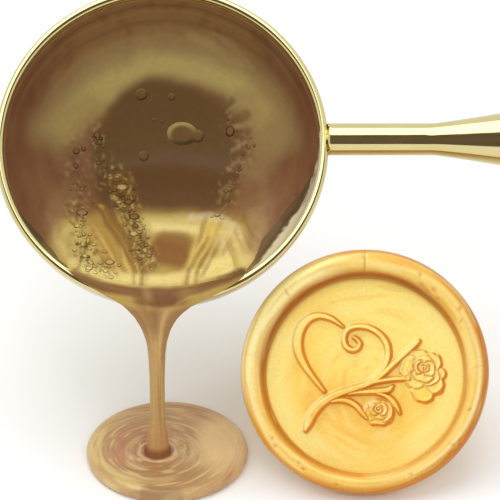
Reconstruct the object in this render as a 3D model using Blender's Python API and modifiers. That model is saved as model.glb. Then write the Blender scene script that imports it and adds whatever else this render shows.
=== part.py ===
"""Gold sealing wax poured from a melting spoon, with a finished wax seal standing beside the pour.

Metres, +Z up. The origin is the centre of the poured wax's underside, on the table.
+X runs along the spoon's handle, and the spoon pours towards -Y.
"""

import math

import bmesh
import bpy
from mathutils import Matrix, Vector

# Clearance between pieces that touch
FIT_GAP = 0.0003

# Spoon bowl, a spun shell with a rolled rim
BOWL_RADIUS = 0.02115
BOWL_DEPTH = 0.0175
BOWL_WALL = 0.0009
RIM_OVERHANG = 0.00025
BOWL_X = -0.0006
POUR_TILT = math.radians(39.3)
LIP_HEIGHT = 0.02414
LIP_SETBACK = 0.0002

# Neck, a turned rod that flares into a ferrule, with its axis just under the rim and a little to the back
NECK_RADIUS = 0.00205
NECK_LENGTH = 0.0133
NECK_DROP = 0.0010
NECK_BACK = 0.0009
FLARE_LENGTH = 0.0150
FLARE_RADIUS = 0.0044
FLARE_CURVE = 1.1

# Wooden grip, held on the neck by a stud
GRIP_LENGTH = 0.0660
GRIP_RADIUS = 0.0057
GRIP_TAIL_RADIUS = 0.0040
STUD_RADIUS = 0.0016
STUD_IN_NECK = 0.0080
STUD_IN_GRIP = 0.0200

# Molten wax in the bowl, over the lip and down to the table
POOL_HEAD = 0.0017
SHEET_WIDTH = 0.0200
WRAP_NARROWING = 0.45
SHEET_THICKNESS = 0.0010
DRAPE_LENGTH = 0.0070
STREAM_X = -0.0012
STREAM_Y = -0.0012
STREAM_RADIUS = 0.00096
STREAM_TOP_RADIUS = 0.0012
STREAM_FOOT_RADIUS = 0.0017
STREAM_FOOT_HEIGHT = 0.0020
PUDDLE_RADIUS = 0.0103
PUDDLE_THICKNESS = 0.0018

# Finished seal, pressed with a round stamp and tilted back to face the viewer
STAMP_RADIUS = 0.0125
SEAL_RIM_WIDTH = 0.0032
SEAL_RIM_HEIGHT = 0.0017
SEAL_FOOT_INSET = 0.0008
FIELD_THICKNESS = 0.0022
RELIEF_HEIGHT = 0.0006
SEAL_TILT = math.radians(54.5)
SEAL_CLEAR_OF_PUDDLE = -0.0009
SEAL_FRONT = 0.0071

# How many flat facets stand for a full turn
BOWL_FACETS = 56
ROD_FACETS = 28
WAX_FACETS = 48
STREAM_FACETS = 20

MERGE = 0.000001


def clear_scene():
    for thing in list(bpy.data.objects):
        bpy.data.objects.remove(thing, do_unlink=True)


def new_collection(name):
    collection = bpy.data.collections.new(name)
    bpy.context.scene.collection.children.link(collection)
    return collection


def linear(hex_colour):
    """An sRGB hex colour as the linear values that a shader takes."""
    channels = [int(hex_colour[i : i + 2], 16) / 255.0 for i in (0, 2, 4)]
    return [c / 12.92 if c <= 0.04045 else ((c + 0.055) / 1.055) ** 2.4 for c in channels]


def new_material(name, hex_colour, roughness, metallic):
    material = bpy.data.materials.new(name)
    material.use_nodes = True
    shader = material.node_tree.nodes["Principled BSDF"]
    shader.inputs["Base Color"].default_value = (*linear(hex_colour), 1.0)
    shader.inputs["Roughness"].default_value = roughness
    shader.inputs["Metallic"].default_value = metallic
    return material


def new_object(name, mesh, collection, material=None):
    thing = bpy.data.objects.new(name, mesh)
    collection.objects.link(thing)
    if material:
        mesh.materials.append(material)
    return thing


def as_cutter(thing):
    thing.hide_render = True
    thing.display_type = "WIRE"
    return thing


def arc(centre, radius, start, end, count):
    """Points of a profile's round stretch, by angle in degrees from the outward direction."""
    points = []
    for i in range(count + 1):
        angle = math.radians(start + (end - start) * i / count)
        points.append((centre[0] + radius * math.cos(angle), centre[1] + radius * math.sin(angle)))
    return points


def turned(name, profile, facets, collection, material):
    """A solid of revolution about local Z. The profile is (radius, height), down its outer side."""
    mesh = bpy.data.meshes.new(name)
    points = [(radius, 0.0, height) for radius, height in profile]
    mesh.from_pydata(points, [(i, i + 1) for i in range(len(points) - 1)], [])
    thing = new_object(name, mesh, collection, material)
    screw = thing.modifiers.new("turn", "SCREW")
    screw.axis = "Z"
    screw.steps = facets
    screw.render_steps = facets
    screw.use_merge_vertices = True
    screw.merge_threshold = MERGE
    screw.use_smooth_shade = True
    return thing


def ellipsoid(name, radius, depth, facets, collection):
    """A ball with a round section of this radius and with this half depth along local Z."""
    shape = bmesh.new()
    bmesh.ops.create_uvsphere(shape, u_segments=facets, v_segments=facets // 2, radius=1.0)
    bmesh.ops.scale(shape, vec=(radius, radius, depth), verts=shape.verts)
    mesh = bpy.data.meshes.new(name)
    shape.to_mesh(mesh)
    shape.free()
    return new_object(name, mesh, collection)


# The rim is a bead as wide as the wall and its overhang, and the lip is the crest of that bead.
WALL_OUTER = BOWL_RADIUS - RIM_OVERHANG
WALL_INNER = WALL_OUTER - BOWL_WALL
BEAD_RADIUS = (BOWL_RADIUS - WALL_INNER) / 2
BEAD_CIRCLE = (BOWL_RADIUS + WALL_INNER) / 2
INNER_DEPTH = BOWL_DEPTH - BOWL_WALL - BEAD_RADIUS

# Directions of the tilted spoon: out of the opening, and across it away from the lip
OPENING_UP = Vector((0.0, -math.sin(POUR_TILT), math.cos(POUR_TILT)))
OPENING_BACK = Vector((0.0, math.cos(POUR_TILT), math.sin(POUR_TILT)))
LIP = Vector((BOWL_X, LIP_SETBACK, LIP_HEIGHT))
OPENING_CENTRE = LIP + BEAD_CIRCLE * OPENING_BACK
ROLL_CENTRE = OPENING_CENTRE - NECK_DROP * OPENING_UP + NECK_BACK * OPENING_BACK
SPOON_MATRIX = Matrix.Translation(ROLL_CENTRE) @ Matrix.Rotation(POUR_TILT, 4, "X")


def make_roll_axis(parts):
    """The spoon rolls in the hand about its handle, so every spoon piece hangs on this axis."""
    axis = bpy.data.objects.new("roll_axis", None)
    axis.matrix_world = SPOON_MATRIX
    parts.objects.link(axis)
    return axis


def make_bowl(parts, axis):
    gold = new_material("gold_plated_bowl", "D9C27A", 0.12, 1.0)
    steps = 11
    profile = []
    for i in range(steps):
        angle = math.radians(90.0 - 90.0 * i / steps)
        height = -BEAD_RADIUS - INNER_DEPTH * math.sin(angle)
        profile.append((WALL_INNER * math.cos(angle) if i else 0.0, height))
    bead_end = math.acos((WALL_OUTER - BEAD_CIRCLE) / BEAD_RADIUS)
    profile += arc((BEAD_CIRCLE, -BEAD_RADIUS), BEAD_RADIUS, 180.0, -math.degrees(bead_end), 8)
    wall_top = BEAD_RADIUS * (1.0 + math.sin(bead_end))
    for i in range(1, steps + 1):
        angle = math.radians(90.0 * i / steps)
        height = -wall_top - (BOWL_DEPTH - wall_top) * math.sin(angle)
        profile.append((WALL_OUTER * math.cos(angle) if i < steps else 0.0, height))
    bowl = turned("spoon_bowl", profile, BOWL_FACETS, parts, gold)
    bowl.parent = axis
    bowl.location = (0.0, -NECK_BACK, NECK_DROP)


# Places along the handle, measured from the roll centre
NECK_START = BOWL_RADIUS * 0.9
NECK_END = BOWL_RADIUS + NECK_LENGTH
FLARE_END = NECK_END + FLARE_LENGTH
GRIP_START = FLARE_END + FIT_GAP
STUD_START = FLARE_END - STUD_IN_NECK
STUD_END = GRIP_START + STUD_IN_GRIP
BORE_RADIUS = STUD_RADIUS + FIT_GAP
ALONG_HANDLE = (0.0, math.radians(90.0), 0.0)


def make_neck(parts, cutters, axis):
    """Rod, flare and a blind socket for the stud. Its root is cut to the bowl's outer wall."""
    gold = new_material("gold_plated_neck", "DCC684", 0.12, 1.0)
    socket_end = STUD_START - FIT_GAP
    profile = [(0.0, socket_end), (BORE_RADIUS, socket_end), (BORE_RADIUS, FLARE_END)]
    steps = 7
    for i in range(steps + 1):
        along = 1.0 - i / steps
        radius = NECK_RADIUS + (FLARE_RADIUS - NECK_RADIUS) * along**FLARE_CURVE
        profile.append((radius, NECK_END + FLARE_LENGTH * along))
    profile += [(NECK_RADIUS, NECK_START), (0.0, NECK_START)]
    neck = turned("spoon_neck", profile, ROD_FACETS, parts, gold)
    neck.parent = axis
    neck.rotation_euler = ALONG_HANDLE
    wall = ellipsoid("bowl_space", BOWL_RADIUS + FIT_GAP, BOWL_DEPTH + FIT_GAP, BOWL_FACETS, cutters)
    wall.parent = axis
    wall.location = (0.0, -NECK_BACK, NECK_DROP)
    as_cutter(wall)
    cut = neck.modifiers.new("fit to bowl", "BOOLEAN")
    cut.operation = "DIFFERENCE"
    cut.solver = "EXACT"
    cut.object = wall


def make_stud(parts, axis):
    steel = new_material("steel_stud", "8E8E8C", 0.35, 1.0)
    profile = [(0.0, STUD_END), (STUD_RADIUS, STUD_END), (STUD_RADIUS, STUD_START), (0.0, STUD_START)]
    stud = turned("handle_stud", profile, ROD_FACETS, parts, steel)
    stud.parent = axis
    stud.rotation_euler = ALONG_HANDLE


def make_grip(parts, axis):
    """A turned wooden grip that swells from the ferrule's width and ends in a round tail."""
    wood = new_material("beech_grip", "9A6A3C", 0.45, 0.0)
    tail_centre = GRIP_START + GRIP_LENGTH - GRIP_TAIL_RADIUS
    body_length = tail_centre - GRIP_START
    profile = [(0.0, tail_centre + GRIP_TAIL_RADIUS)]
    profile += arc((0.0, tail_centre), GRIP_TAIL_RADIUS, 90.0, 0.0, 6)[1:]
    steps = 10
    for i in range(1, steps + 1):
        along = i / steps
        straight = GRIP_TAIL_RADIUS + (FLARE_RADIUS - GRIP_TAIL_RADIUS) * along
        swell = GRIP_RADIUS - (GRIP_TAIL_RADIUS + FLARE_RADIUS) / 2
        radius = straight + swell * math.sin(math.pi * along) ** 2
        profile.append((radius, tail_centre - body_length * along))
    bore_end = STUD_END + FIT_GAP
    profile += [(BORE_RADIUS, GRIP_START), (BORE_RADIUS, bore_end), (0.0, bore_end)]
    grip = turned("handle_grip", profile, ROD_FACETS, parts, wood)
    grip.parent = axis
    grip.rotation_euler = ALONG_HANDLE


def make_pool(parts, axis):
    """Level wax in the tilted bowl: the bowl's inside, cut at the wax's surface."""
    wax = new_material("molten_wax_pool", "8A683A", 0.15, 0.3)
    pool = ellipsoid("wax_pool", WALL_INNER - FIT_GAP, INNER_DEPTH - FIT_GAP, WAX_FACETS, parts)
    pool.data.materials.append(wax)
    pool.parent = axis
    pool.location = (0.0, -NECK_BACK, NECK_DROP - BEAD_RADIUS)
    level_up = Vector((0.0, math.sin(POUR_TILT), math.cos(POUR_TILT)))
    surface_point = Vector((0.0, -BEAD_CIRCLE, BEAD_RADIUS)) + POOL_HEAD * level_up
    shape = bmesh.new()
    shape.from_mesh(pool.data)
    everything = shape.verts[:] + shape.edges[:] + shape.faces[:]
    cut = bmesh.ops.bisect_plane(
        shape, geom=everything, plane_co=surface_point, plane_no=level_up, clear_outer=True
    )
    rim_edges = [item for item in cut["geom_cut"] if isinstance(item, bmesh.types.BMEdge)]
    bmesh.ops.edgeloop_fill(shape, edges=rim_edges)
    bmesh.ops.recalc_face_normals(shape, faces=shape.faces)
    shape.to_mesh(pool.data)
    shape.free()


# The wax sheet wraps the rim's bead at this distance, then hangs from its outermost point.
BEAD_CENTRE = LIP - BEAD_RADIUS * OPENING_UP
WRAP_RADIUS = BEAD_RADIUS + FIT_GAP + SHEET_THICKNESS / 2
DRAPE_TOP = BEAD_CENTRE + Vector((0.0, -WRAP_RADIUS, 0.0))
STREAM_TOP = DRAPE_TOP.z - DRAPE_LENGTH
PUDDLE_TOP = PUDDLE_THICKNESS + FIT_GAP


def rim_setback(across):
    """How far the round rim lies behind the lip at this distance to one side."""
    return BEAD_CIRCLE - math.sqrt(BEAD_CIRCLE**2 - across**2)


def sheet_section(middle, normal, half_width, half_thickness, rim_share, count):
    """One closed section of the sheet: a flat oval bent along the rim by rim_share."""
    points = []
    for i in range(count):
        angle = 2 * math.pi * i / count
        across = half_width * math.cos(angle)
        bend = rim_setback(middle.x - BOWL_X + across) * rim_share
        point = middle + Vector((across, 0.0, 0.0)) + normal * half_thickness * math.sin(angle)
        points.append(point + OPENING_BACK * bend)
    return points


def close_bent_section(shape, ring):
    """Closes a bent oval with a strip of faces between its upper and lower points."""
    count = len(ring)
    for i in range(count // 2):
        corners = [ring[i], ring[i + 1], ring[count - i - 1], ring[(count - i) % count]]
        shape.faces.new(list(dict.fromkeys(corners)))


def make_overflow(parts, axis):
    """Wax that runs over the lip as a wide sheet and gathers into a thread: a loft of ovals."""
    wax = new_material("molten_wax_overflow", "A07C4C", 0.2, 0.3)
    count = 28
    half_width = SHEET_WIDTH / 2
    half_thickness = SHEET_THICKNESS / 2
    sections = []
    wrap_steps = 5
    wrap_start = math.degrees(POUR_TILT) - 12.0
    for i in range(wrap_steps):
        share = i / wrap_steps
        turn = math.radians(wrap_start + (90.0 - wrap_start) * share)
        normal = Vector((0.0, -math.sin(turn), math.cos(turn)))
        middle = BEAD_CENTRE + normal * WRAP_RADIUS
        middle.x = STREAM_X
        width = half_width * (1.0 - WRAP_NARROWING * share)
        sections.append(sheet_section(middle, normal, width, half_thickness, 1.0, count))
    drape_steps = 9
    drape_width = half_width * (1.0 - WRAP_NARROWING)
    end_radius = STREAM_TOP_RADIUS
    for i in range(drape_steps + 1):
        share = i / drape_steps
        narrowing = (1.0 - share) ** 3
        width = end_radius + (drape_width - end_radius) * narrowing
        thickness = half_thickness + (end_radius - half_thickness) * share
        depth = DRAPE_TOP.y + (STREAM_Y - DRAPE_TOP.y) * share
        middle = Vector((STREAM_X, depth, DRAPE_TOP.z - DRAPE_LENGTH * share))
        normal = Vector((0.0, -1.0, 0.0))
        sections.append(sheet_section(middle, normal, width, thickness, (1.0 - share) ** 2, count))
    shape = bmesh.new()
    rings = [[shape.verts.new(point) for point in section] for section in sections]
    for upper, lower in zip(rings, rings[1:]):
        for i in range(count):
            nxt = (i + 1) % count
            shape.faces.new((upper[i], upper[nxt], lower[nxt], lower[i]))
    for ring in (rings[0], rings[-1]):
        close_bent_section(shape, ring)
    bmesh.ops.recalc_face_normals(shape, faces=shape.faces)
    mesh = bpy.data.meshes.new("wax_overflow")
    shape.to_mesh(mesh)
    shape.free()
    mesh.shade_smooth()
    overflow = new_object("wax_overflow", mesh, parts, wax)
    overflow.parent = axis
    overflow.matrix_parent_inverse = SPOON_MATRIX.inverted()


def make_stream(parts):
    """The falling thread of wax, drawn thin in the middle and spread where it lands."""
    wax = new_material("molten_wax_stream", "B08C58", 0.25, 0.3)
    top = STREAM_TOP - FIT_GAP
    foot = PUDDLE_TOP
    foot_top = foot + STREAM_FOOT_HEIGHT
    steps = 8
    profile = [(0.0, top)]
    for i in range(steps + 1):
        share = i / steps
        radius = STREAM_RADIUS + (STREAM_TOP_RADIUS - STREAM_RADIUS) * (1.0 - share) ** 3
        profile.append((radius, top + (foot_top - top) * share))
    spread = 4
    for i in range(1, spread + 1):
        share = i / spread
        radius = STREAM_RADIUS + (STREAM_FOOT_RADIUS - STREAM_RADIUS) * share**2
        profile.append((radius, foot_top - STREAM_FOOT_HEIGHT * share))
    profile.append((0.0, foot))
    stream = turned("wax_stream", profile, STREAM_FACETS, parts, wax)
    stream.location = (STREAM_X, STREAM_Y, 0.0)


def make_puddle(parts):
    """The round pool of wax on the table, with a soft edge and a flat underside."""
    wax = new_material("poured_wax_puddle", "CDA070", 0.3, 0.25)
    edge = PUDDLE_THICKNESS * 0.55
    profile = [(0.0, PUDDLE_THICKNESS)]
    profile += arc((PUDDLE_RADIUS - edge, PUDDLE_THICKNESS - edge), edge, 90.0, -30.0, 7)
    profile += [(PUDDLE_RADIUS - edge * 0.6, 0.0), (0.0, 0.0)]
    turned("wax_puddle", profile, WAX_FACETS, parts, wax)


# Heart-shaped scrolls, stems and leaves of the seal's raised design. Each stroke is a list of
# (across, up, half width), in shares of the stamp's radius.
STROKES = {
    "heart_left": [
        (-0.18, 0.45, 0.015), (-0.30, 0.56, 0.035), (-0.45, 0.61, 0.050), (-0.59, 0.57, 0.058),
        (-0.67, 0.45, 0.062), (-0.69, 0.31, 0.062), (-0.66, 0.17, 0.056), (-0.58, 0.03, 0.048),
        (-0.50, -0.08, 0.040), (-0.42, -0.17, 0.025),
    ],
    "heart_right": [
        (-0.14, 0.37, 0.028), (-0.06, 0.37, 0.034), (-0.03, 0.27, 0.036), (-0.10, 0.20, 0.036),
        (-0.19, 0.22, 0.036), (-0.24, 0.31, 0.038), (-0.21, 0.42, 0.040), (-0.13, 0.49, 0.042),
        (0.00, 0.50, 0.042), (0.13, 0.44, 0.042), (0.23, 0.34, 0.042), (0.26, 0.21, 0.042),
        (0.23, 0.09, 0.040), (0.15, -0.01, 0.036), (0.04, -0.09, 0.030),
    ],
    "main_stem": [
        (-0.61, -0.57, 0.042), (-0.54, -0.43, 0.048), (-0.42, -0.31, 0.050), (-0.28, -0.21, 0.050),
        (-0.11, -0.14, 0.046), (0.07, -0.07, 0.042), (0.25, -0.05, 0.036), (0.46, -0.07, 0.026),
    ],
    "upper_leaf": [(0.15, -0.01, 0.020), (0.30, 0.12, 0.044), (0.43, 0.23, 0.042), (0.55, 0.33, 0.012)],
    "lower_leaf": [(-0.22, -0.18, 0.020), (-0.04, -0.19, 0.032), (0.13, -0.15, 0.042), (0.28, -0.14, 0.012)],
    "rose_stem": [(-0.34, -0.26, 0.025), (-0.20, -0.28, 0.032), (-0.08, -0.34, 0.032), (0.02, -0.43, 0.022)],
    "side_leaf": [(0.19, -0.16, 0.015), (0.28, -0.27, 0.042), (0.35, -0.40, 0.012)],
}
WIDEST_STROKE = 0.062
# Roses as (across, up, radius, turn in degrees), in the same shares
ROSES = [(0.60, 0.01, 0.215, 20.0), (0.14, -0.38, 0.130, 55.0)]
SINK = 0.25


def make_stroke(name, points, relief):
    """A raised scroll: a tube with a varying width, flattened to the relief's height."""
    curve = bpy.data.curves.new(name, "CURVE")
    curve.dimensions = "3D"
    curve.bevel_depth = 1.0
    curve.bevel_resolution = 1
    curve.use_fill_caps = True
    spline = curve.splines.new("NURBS")
    spline.points.add(len(points) - 1)
    spline.order_u = 4
    spline.use_endpoint_u = True
    spline.resolution_u = 3
    for control, (across, up, half_width) in zip(spline.points, points):
        control.co = (across * STAMP_RADIUS, up * STAMP_RADIUS, 0.0, 1.0)
        control.radius = half_width * STAMP_RADIUS
    guide = bpy.data.objects.new(name, curve)
    relief.objects.link(guide)
    bpy.context.view_layer.update()
    evaluated = guide.evaluated_get(bpy.context.evaluated_depsgraph_get())
    mesh = bpy.data.meshes.new_from_object(evaluated)
    bpy.data.objects.remove(guide, do_unlink=True)
    shape = bmesh.new()
    shape.from_mesh(mesh)
    bmesh.ops.remove_doubles(shape, verts=shape.verts, dist=MERGE)
    flatten = RELIEF_HEIGHT / (WIDEST_STROKE * STAMP_RADIUS)
    bmesh.ops.scale(shape, vec=(1.0, 1.0, flatten), verts=shape.verts)
    bmesh.ops.recalc_face_normals(shape, faces=shape.faces)
    shape.to_mesh(mesh)
    shape.free()
    return as_cutter(new_object(name, mesh, relief))


def make_rose(number, rose, relief):
    """A raised rose: rings of round petals that rise towards the bud."""
    across, up, radius, turn = rose
    size = radius * STAMP_RADIUS
    rings = [(5, 0.60, 0.44, 0.80), (4, 0.30, 0.34, 1.10), (1, 0.0, 0.22, 1.40)]
    petals = []
    for ring, (count, reach, petal_size, rise) in enumerate(rings):
        for i in range(count):
            angle = math.radians(turn * (ring + 1) + 360.0 * i / count)
            name = f"rose_{number}_petal_{ring}_{i}"
            petal = ellipsoid(name, petal_size * size, rise * RELIEF_HEIGHT, 10, relief)
            petal.location = (
                across * STAMP_RADIUS + reach * size * math.cos(angle),
                up * STAMP_RADIUS + reach * size * math.sin(angle),
                0.0,
            )
            petals.append(as_cutter(petal))
    return petals


def ellipse_arc(centre, half_width, half_height, start, end, count):
    """Points of a profile's oval stretch, by angle in degrees from the outward direction."""
    return [
        (centre[0] + half_width * across, centre[1] + half_height * up)
        for across, up in arc((0.0, 0.0), 1.0, start, end, count)
    ]


def make_seal(parts, relief):
    """A pressed disc of wax: sunk field, rolled rim where the wax swelled up, raised design."""
    wax = new_material("pearl_gold_wax", "F2C455", 0.3, 0.55)
    half_rim = SEAL_RIM_WIDTH / 2
    seal_radius = STAMP_RADIUS + SEAL_RIM_WIDTH
    rim_centre = (STAMP_RADIUS + half_rim, FIELD_THICKNESS)
    foot_centre = (seal_radius - SEAL_FOOT_INSET, FIELD_THICKNESS)
    profile = [(0.0, FIELD_THICKNESS)]
    profile += ellipse_arc(rim_centre, half_rim, SEAL_RIM_HEIGHT, 180.0, 0.0, 12)
    profile += ellipse_arc(foot_centre, SEAL_FOOT_INSET, FIELD_THICKNESS, 0.0, -90.0, 5)[1:]
    profile.append((0.0, 0.0))
    seal = turned("wax_seal", profile, WAX_FACETS, parts, wax)
    lean = [radius * math.sin(SEAL_TILT) - height * math.cos(SEAL_TILT) for radius, height in profile]
    centre_height = max(lean)
    centre_y = centre_height / math.tan(SEAL_TILT) - SEAL_FRONT
    seal.location = (PUDDLE_RADIUS + SEAL_CLEAR_OF_PUDDLE + seal_radius, centre_y, centre_height)
    seal.rotation_euler = (SEAL_TILT, 0.0, 0.0)
    raised = [make_stroke(name, points, relief) for name, points in STROKES.items()]
    for number, rose in enumerate(ROSES):
        raised += make_rose(number, rose, relief)
    for piece in raised:
        piece.parent = seal
        piece.location.z = FIELD_THICKNESS - SINK * RELIEF_HEIGHT
    join = seal.modifiers.new("raised design", "BOOLEAN")
    join.operation = "UNION"
    join.solver = "EXACT"
    join.operand_type = "COLLECTION"
    join.collection = relief


def main():
    clear_scene()
    parts = new_collection("sealing_wax_pour")
    cutters = new_collection("cutters")
    relief = new_collection("seal_relief")
    relief.hide_render = True
    axis = make_roll_axis(parts)
    make_bowl(parts, axis)
    make_neck(parts, cutters, axis)
    make_stud(parts, axis)
    make_grip(parts, axis)
    make_pool(parts, axis)
    make_overflow(parts, axis)
    make_stream(parts)
    make_puddle(parts)
    make_seal(parts, relief)


main()
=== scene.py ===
"""Looks of the sealing wax pour: a melting spoon that pours gold wax, and a finished seal beside it."""

import math
import random

import bpy
import numpy as np
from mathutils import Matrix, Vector, noise


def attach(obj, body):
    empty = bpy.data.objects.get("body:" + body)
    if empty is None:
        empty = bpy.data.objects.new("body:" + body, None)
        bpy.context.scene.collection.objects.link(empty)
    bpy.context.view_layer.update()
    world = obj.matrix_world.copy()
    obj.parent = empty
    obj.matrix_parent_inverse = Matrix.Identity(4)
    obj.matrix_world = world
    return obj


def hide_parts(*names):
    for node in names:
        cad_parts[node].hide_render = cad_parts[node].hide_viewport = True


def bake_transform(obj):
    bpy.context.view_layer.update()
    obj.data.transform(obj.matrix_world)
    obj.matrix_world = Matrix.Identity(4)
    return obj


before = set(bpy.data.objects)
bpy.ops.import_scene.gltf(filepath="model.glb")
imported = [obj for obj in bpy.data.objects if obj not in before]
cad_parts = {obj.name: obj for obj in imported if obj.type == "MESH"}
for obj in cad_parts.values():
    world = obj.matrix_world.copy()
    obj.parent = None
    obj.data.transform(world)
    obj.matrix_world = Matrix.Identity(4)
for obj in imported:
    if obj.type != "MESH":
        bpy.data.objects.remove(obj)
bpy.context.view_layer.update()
bpy.context.scene.view_settings.view_transform = "Standard"


# Spoon bowl. A round cup spun from brass sheet about 0.9 mm thick, polished and plated pale gold.
# Its edge is rolled over into a small bead, and wax runs over that bead at the front.
MM = 0.001
POUR_TILT = math.radians(39.3)
OPENING_CENTRE = Vector((-0.6, 16.122, 37.172)) * MM
OPENING_UP = Vector((0.0, -math.sin(POUR_TILT), math.cos(POUR_TILT)))
OPENING_BACK = Vector((0.0, math.cos(POUR_TILT), math.sin(POUR_TILT)))
WALL_INNER = 20.0 * MM
WALL_OUTER = 20.9 * MM
INNER_DEPTH = 16.025 * MM
OUTER_DEPTH = 17.5 * MM
BEAD_RADIUS = 0.575 * MM
BEAD_CIRCLE = 20.575 * MM
BEAD_INSET = 0.012 * MM
MERGE = 1e-6


def turn_on_lathe(name, profile, steps):
    """Draws a (radius, height) line by moving a vertex along it, and turns it round Z into a closed piece."""
    profile = [(radius if radius > MERGE else 0.0, height) for radius, height in profile]
    bpy.ops.mesh.primitive_plane_add(size=MM)
    piece = bpy.context.object
    piece.name = name
    piece.data.name = name
    bpy.ops.object.mode_set(mode="EDIT")
    bpy.ops.mesh.merge(type="CENTER")
    bpy.ops.transform.translate(value=(profile[0][0], 0.0, profile[0][1]))
    for (radius, height), (next_radius, next_height) in zip(profile, profile[1:]):
        step = (next_radius - radius, 0.0, next_height - height)
        bpy.ops.mesh.extrude_region_move(TRANSFORM_OT_translate={"value": step})
    bpy.ops.object.mode_set(mode="OBJECT")
    screw = piece.modifiers.new("lathe", "SCREW")
    screw.steps = steps
    screw.render_steps = steps
    screw.use_merge_vertices = True
    screw.merge_threshold = MERGE
    bpy.ops.object.modifier_apply(modifier=screw.name)
    bpy.ops.object.mode_set(mode="EDIT")
    bpy.ops.mesh.select_all(action="SELECT")
    bpy.ops.mesh.normals_make_consistent(inside=False)
    bpy.ops.object.mode_set(mode="OBJECT")
    bpy.ops.object.shade_smooth()
    return piece


def set_in_place(piece, turn, place):
    """Turns and moves a finished piece, then puts that place into its mesh."""
    bpy.ops.object.select_all(action="DESELECT")
    piece.select_set(True)
    bpy.context.view_layer.objects.active = piece
    piece.rotation_euler = turn
    piece.location = place
    bpy.ops.object.transform_apply(location=True, rotation=True, scale=True)


def oval(centre, half_width, half_height, start, end, count):
    """Points of a profile's oval stretch, by angle in degrees from the outward direction."""
    angles = np.radians(np.linspace(start, end, count))
    return [(centre[0] + half_width * math.cos(a), centre[1] + half_height * math.sin(a)) for a in angles]


bead_end = math.degrees(math.acos((WALL_OUTER - BEAD_CIRCLE) / BEAD_RADIUS))
wall_top = BEAD_RADIUS * (1.0 + math.sin(math.radians(bead_end)))
profile = oval((0.0, -BEAD_RADIUS), WALL_INNER, INNER_DEPTH, -90.0, -2.0, 90)
bead = BEAD_RADIUS - BEAD_INSET
profile += oval((BEAD_CIRCLE, -BEAD_RADIUS), bead, bead, 180.0, -bead_end, 20)
profile += oval((0.0, -wall_top), WALL_OUTER, OUTER_DEPTH - wall_top, 0.0, -90.0, 32)[1:]
bowl = turn_on_lathe("spoon_bowl_shell", profile, 384)
set_in_place(bowl, (POUR_TILT, 0.0, 0.0), OPENING_CENTRE)


def linear(hex_colour):
    """An sRGB hex colour as the linear red, green, blue and alpha that a shader takes."""
    channels = [int(hex_colour[i : i + 2], 16) / 255.0 for i in (0, 2, 4)]
    return [c / 12.92 if c <= 0.04045 else ((c + 0.055) / 1.055) ** 2.4 for c in channels] + [1.0]


def feed(node, inputs):
    """Sets or links the inputs of a shader node. Another node stands for its first output in use."""
    for name, value in inputs.items():
        if isinstance(value, bpy.types.Node):
            value = next(output for output in value.outputs if output.enabled)
        if isinstance(value, bpy.types.NodeSocket):
            node.id_data.links.new(value, node.inputs[name])
        else:
            node.inputs[name].default_value = value


def add_node(tree, kind, inputs, **settings):
    """Adds a shader node, sets its options, and feeds its inputs."""
    node = tree.nodes.new("ShaderNode" + kind)
    for name, value in settings.items():
        setattr(node, name, value)
    feed(node, inputs)
    return node


def new_finish(name, shader_values):
    """A new material with a Principled shader whose constant values are set on its own sockets."""
    finish = bpy.data.materials.new(name)
    finish.use_nodes = True
    shader = finish.node_tree.nodes["Principled BSDF"]
    feed(shader, shader_values)
    return finish, finish.node_tree, shader


# Pale gold plating on polished brass: a near mirror, with faint buffing marks and slightly duller clouds.
gold_plate, tree, shader = new_finish("gold_plated_brass", {})
coords = add_node(tree, "TexCoord", {})
clouds = add_node(
    tree, "TexNoise", {"Vector": coords.outputs["Object"], "Scale": 1 / (6 * MM), "Detail": 4.0}
)
tone = add_node(tree, "Mix", {0: clouds, 6: linear("CFC187"), 7: linear("DDD09A")}, data_type="RGBA")
# Where the wax drained off the wall: how far a haze of wax dulls the plating, and the painted shade,
# reflection and highlight there
haze_and_reflection = add_node(tree, "Attribute", {}, attribute_name="wall_haze_and_reflection")
hazed_and_reflecting = add_node(tree, "Mix", {0: haze_and_reflection.outputs["Alpha"], 6: tone, 7: haze_and_reflection}, data_type="RGBA")
sheen = add_node(tree, "MapRange", {"Value": haze_and_reflection.outputs["Alpha"], "To Min": 1.0, "To Max": 0.1})
dulling = add_node(
    tree, "MapRange", {"Value": clouds, "From Min": 0.3, "From Max": 0.8, "To Min": 0.07, "To Max": 0.16}
)
marks = add_node(
    tree, "TexNoise", {"Vector": coords.outputs["Object"], "Scale": 1 / (0.4 * MM), "Detail": 2.0}
)
buffing = add_node(tree, "Bump", {"Height": marks, "Strength": 0.02, "Distance": 0.05 * MM})
feed(shader, {"Base Color": hazed_and_reflecting, "Metallic": sheen, "Roughness": dulling, "Normal": buffing})
bowl.data.materials.append(gold_plate)
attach(bowl, "spoon")
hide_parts("spoon_bowl")


# Neck. A turned brass rod brazed to the bowl's side under the rim, which flares into a ferrule for
# the wooden grip. It has the bowl's plating, and its far end is bored for the stud.
ROLL_CENTRE = Vector((-0.6, 17.452, 36.968)) * MM
ALONG_HANDLE = (0.0, math.radians(90.0), 0.0)
NECK_RADIUS = 2.05 * MM
NECK_ROOT = 19.9 * MM
NECK_END = 34.45 * MM
FLARE_END = 49.45 * MM
FLARE_RADIUS = 4.4 * MM
FLARE_CURVE = 1.1
FERRULE_EDGE = 0.3 * MM
SOCKET_RADIUS = 1.9 * MM
SOCKET_END = 41.15 * MM
ROOT_ROUND = 0.8 * MM
RIM_SIDE = OPENING_CENTRE.x + BEAD_CIRCLE + 0.85 * BEAD_RADIUS

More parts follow.
